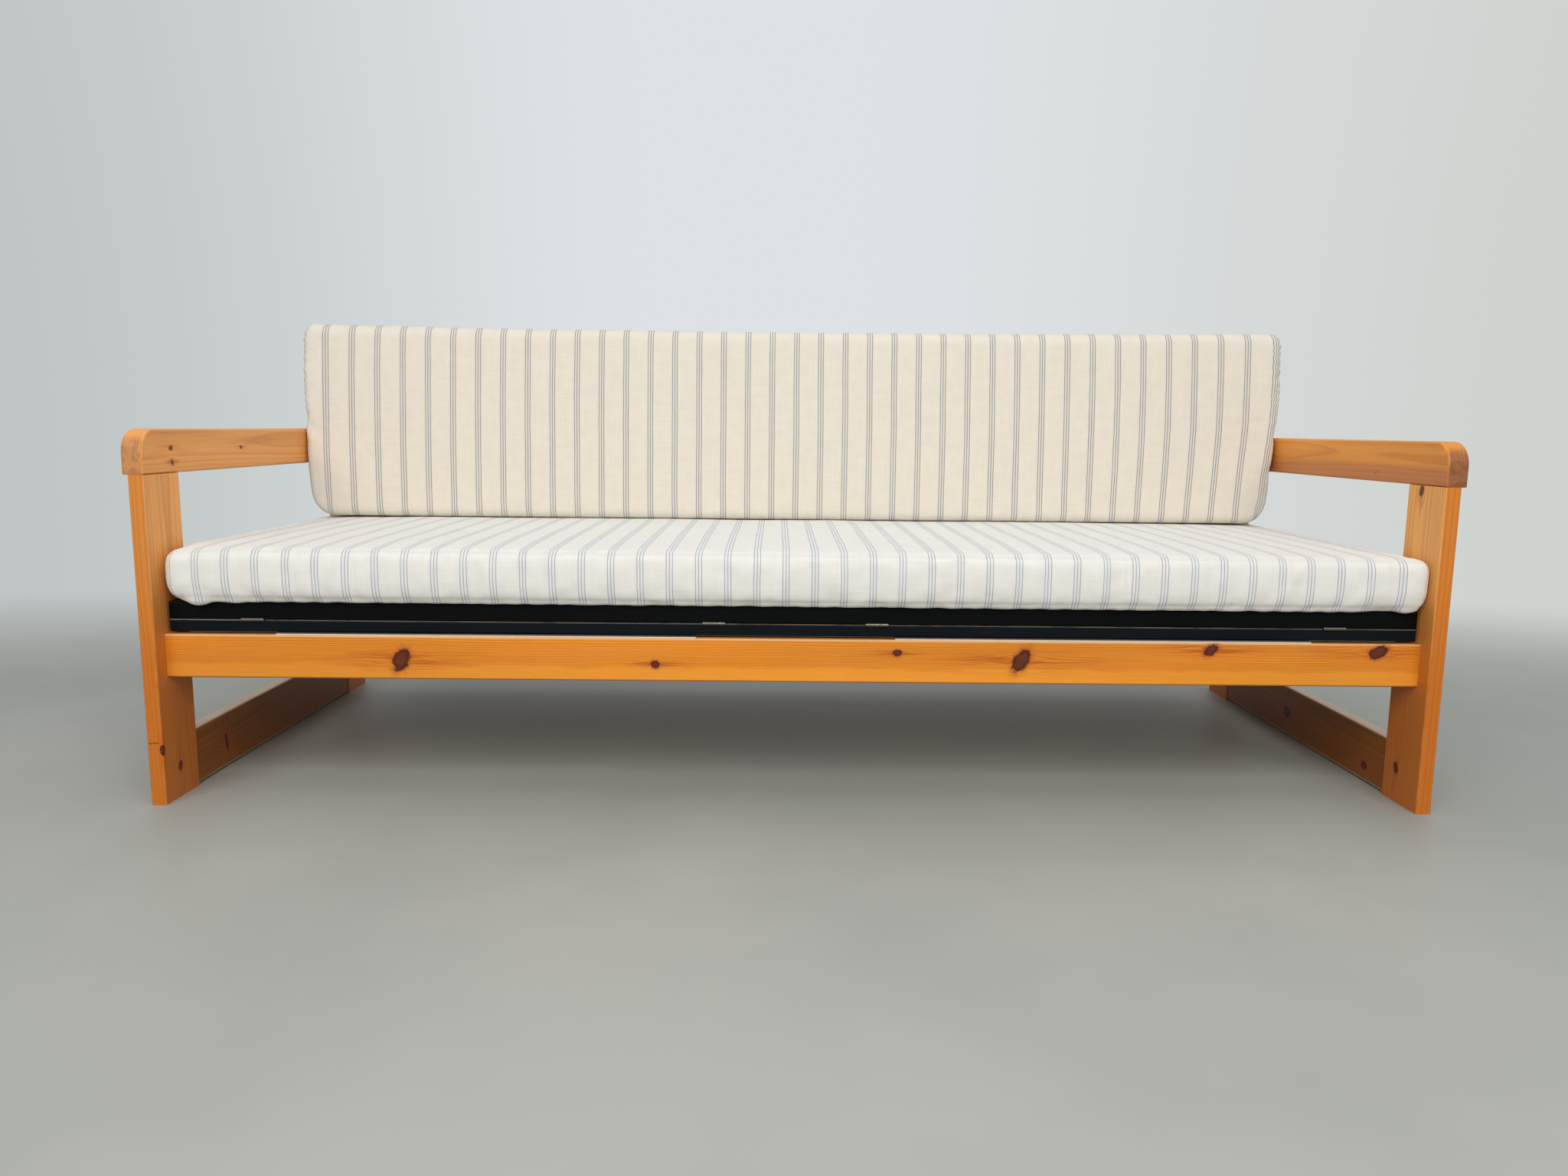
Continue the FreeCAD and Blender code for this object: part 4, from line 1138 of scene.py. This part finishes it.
def dress_right_end():
    """Arm, legs and side rail of the right end, which is darker and stained below."""
    inside = 1.0
    stain_and_shade = (0.541, 0.560, srgb(192, 116, 66), 0.8)
    cracks = (((1.0, -0.2330, 0.5440), (1.0, -0.2180, 0.5370), 0.0011),)
    dress_pine("right_arm", "yzx", (0.012, 0.045), 0.0042, 0.016, *RIGHT_ARM, 0.6,
               srgb(124, 78, 58), 0.9, cracks=cracks, seed=8.1, stain_and_shade=stain_and_shade)
    leg_knots = (
        ((inside, -0.3633, 0.0567), (0.0110, 0.0070, 0.03), 0.2),
        ((inside, -0.3644, 0.5165), (0.0088, 0.0062, 0.03), 0.0),
    )
    rear_knot = ((inside, 0.37, 0.24), (0.009, 0.006, 0.03), 0.1)
    rail_knots = (
        ((1.002, 0.0347, 0.0478), (0.0150, 0.0125, 0.02), 0.0),
        ((1.002, -0.2635, 0.0300), (0.0095, 0.0085, 0.02), 0.2),
    )
    dress_end("right", -1, RIGHT_LEG, 0.65, RIGHT_FRONT, leg_knots, (), rear_knot, rail_knots, 9.1)


def dress_pull_out():
    """The black boards, the bare wood of the slatted frame and leg frames, and the glide strips."""
    # The upper board's paint is darker than the lower's: painted shade from the seat mattress over
    # it.
    dress_black("black_upper_board", "upper_front_board", srgb(2, 5, 4), srgb(9, 13, 12),
                srgb(40, 38, 34), 0.2)
    dress_black("black_lower_board", "lower_front_board", srgb(12, 18, 23), srgb(24, 31, 40),
                srgb(122, 110, 96), 0.6, -0.88)
    lengthwise = bare_pine("bare_pine_lengthwise", "xzy", 4.0)
    crosswise = bare_pine("bare_pine_crosswise", "yzx", 6.5)
    dress(lengthwise, "rear_bearer", "rear_ledge", "runner_rear_board")
    dress(crosswise, "fixed_slats", "sliding_slats", "runners", "stop_blocks")
    for side in ("left_folding_leg_", "right_folding_leg_"):
        dress(crosswise, side + "inner_post", side + "outer_post")
        dress(lengthwise, side + "foot_bar", side + "upper_bar")
    dress(white_nylon(), "glide_strip_left", "glide_strip_right")


def dress_metal():
    """Hinges, bolts, nuts and the small screws."""
    hinge = dull_steel("hinge_steel", srgb(108, 104, 96), 0.7)
    zinc = dull_steel("zinc_steel", srgb(196, 196, 192), 0.35)
    dress(hinge, "hinge_upper_leaves", "hinge_lower_leaves", "hinge_pins")
    dress(zinc, "rail_bolts", "rail_barrel_nuts", "leg_pivot_bolts")
    all_screws(zinc)


make_pine_grain()
make_knot()
make_crack()
make_edge_wear()
make_weave()
make_stripes()
photo_camera()
studio()
dress_long_rails()
dress_left_end()
dress_right_end()
dress_pull_out()
dress_metal()

seat_cotton = striped_cotton("striped_seat_cotton", srgb(238, 236, 229), srgb(132, 145, 172), 0.03,
                             0.8, SEAT_PITCH, 0.0049, 0.0008)
back_cotton = striped_cotton("striped_back_cotton", srgb(232, 224, 209), srgb(118, 122, 140), 0.08,
                             0.95, BACK_PITCH, 0.0050, 0.0009)
cover_with(seat_cover(), seat_cotton)
cover_with(back_cover(), back_cotton)

bpy.context.scene.view_settings.view_transform = "Standard"
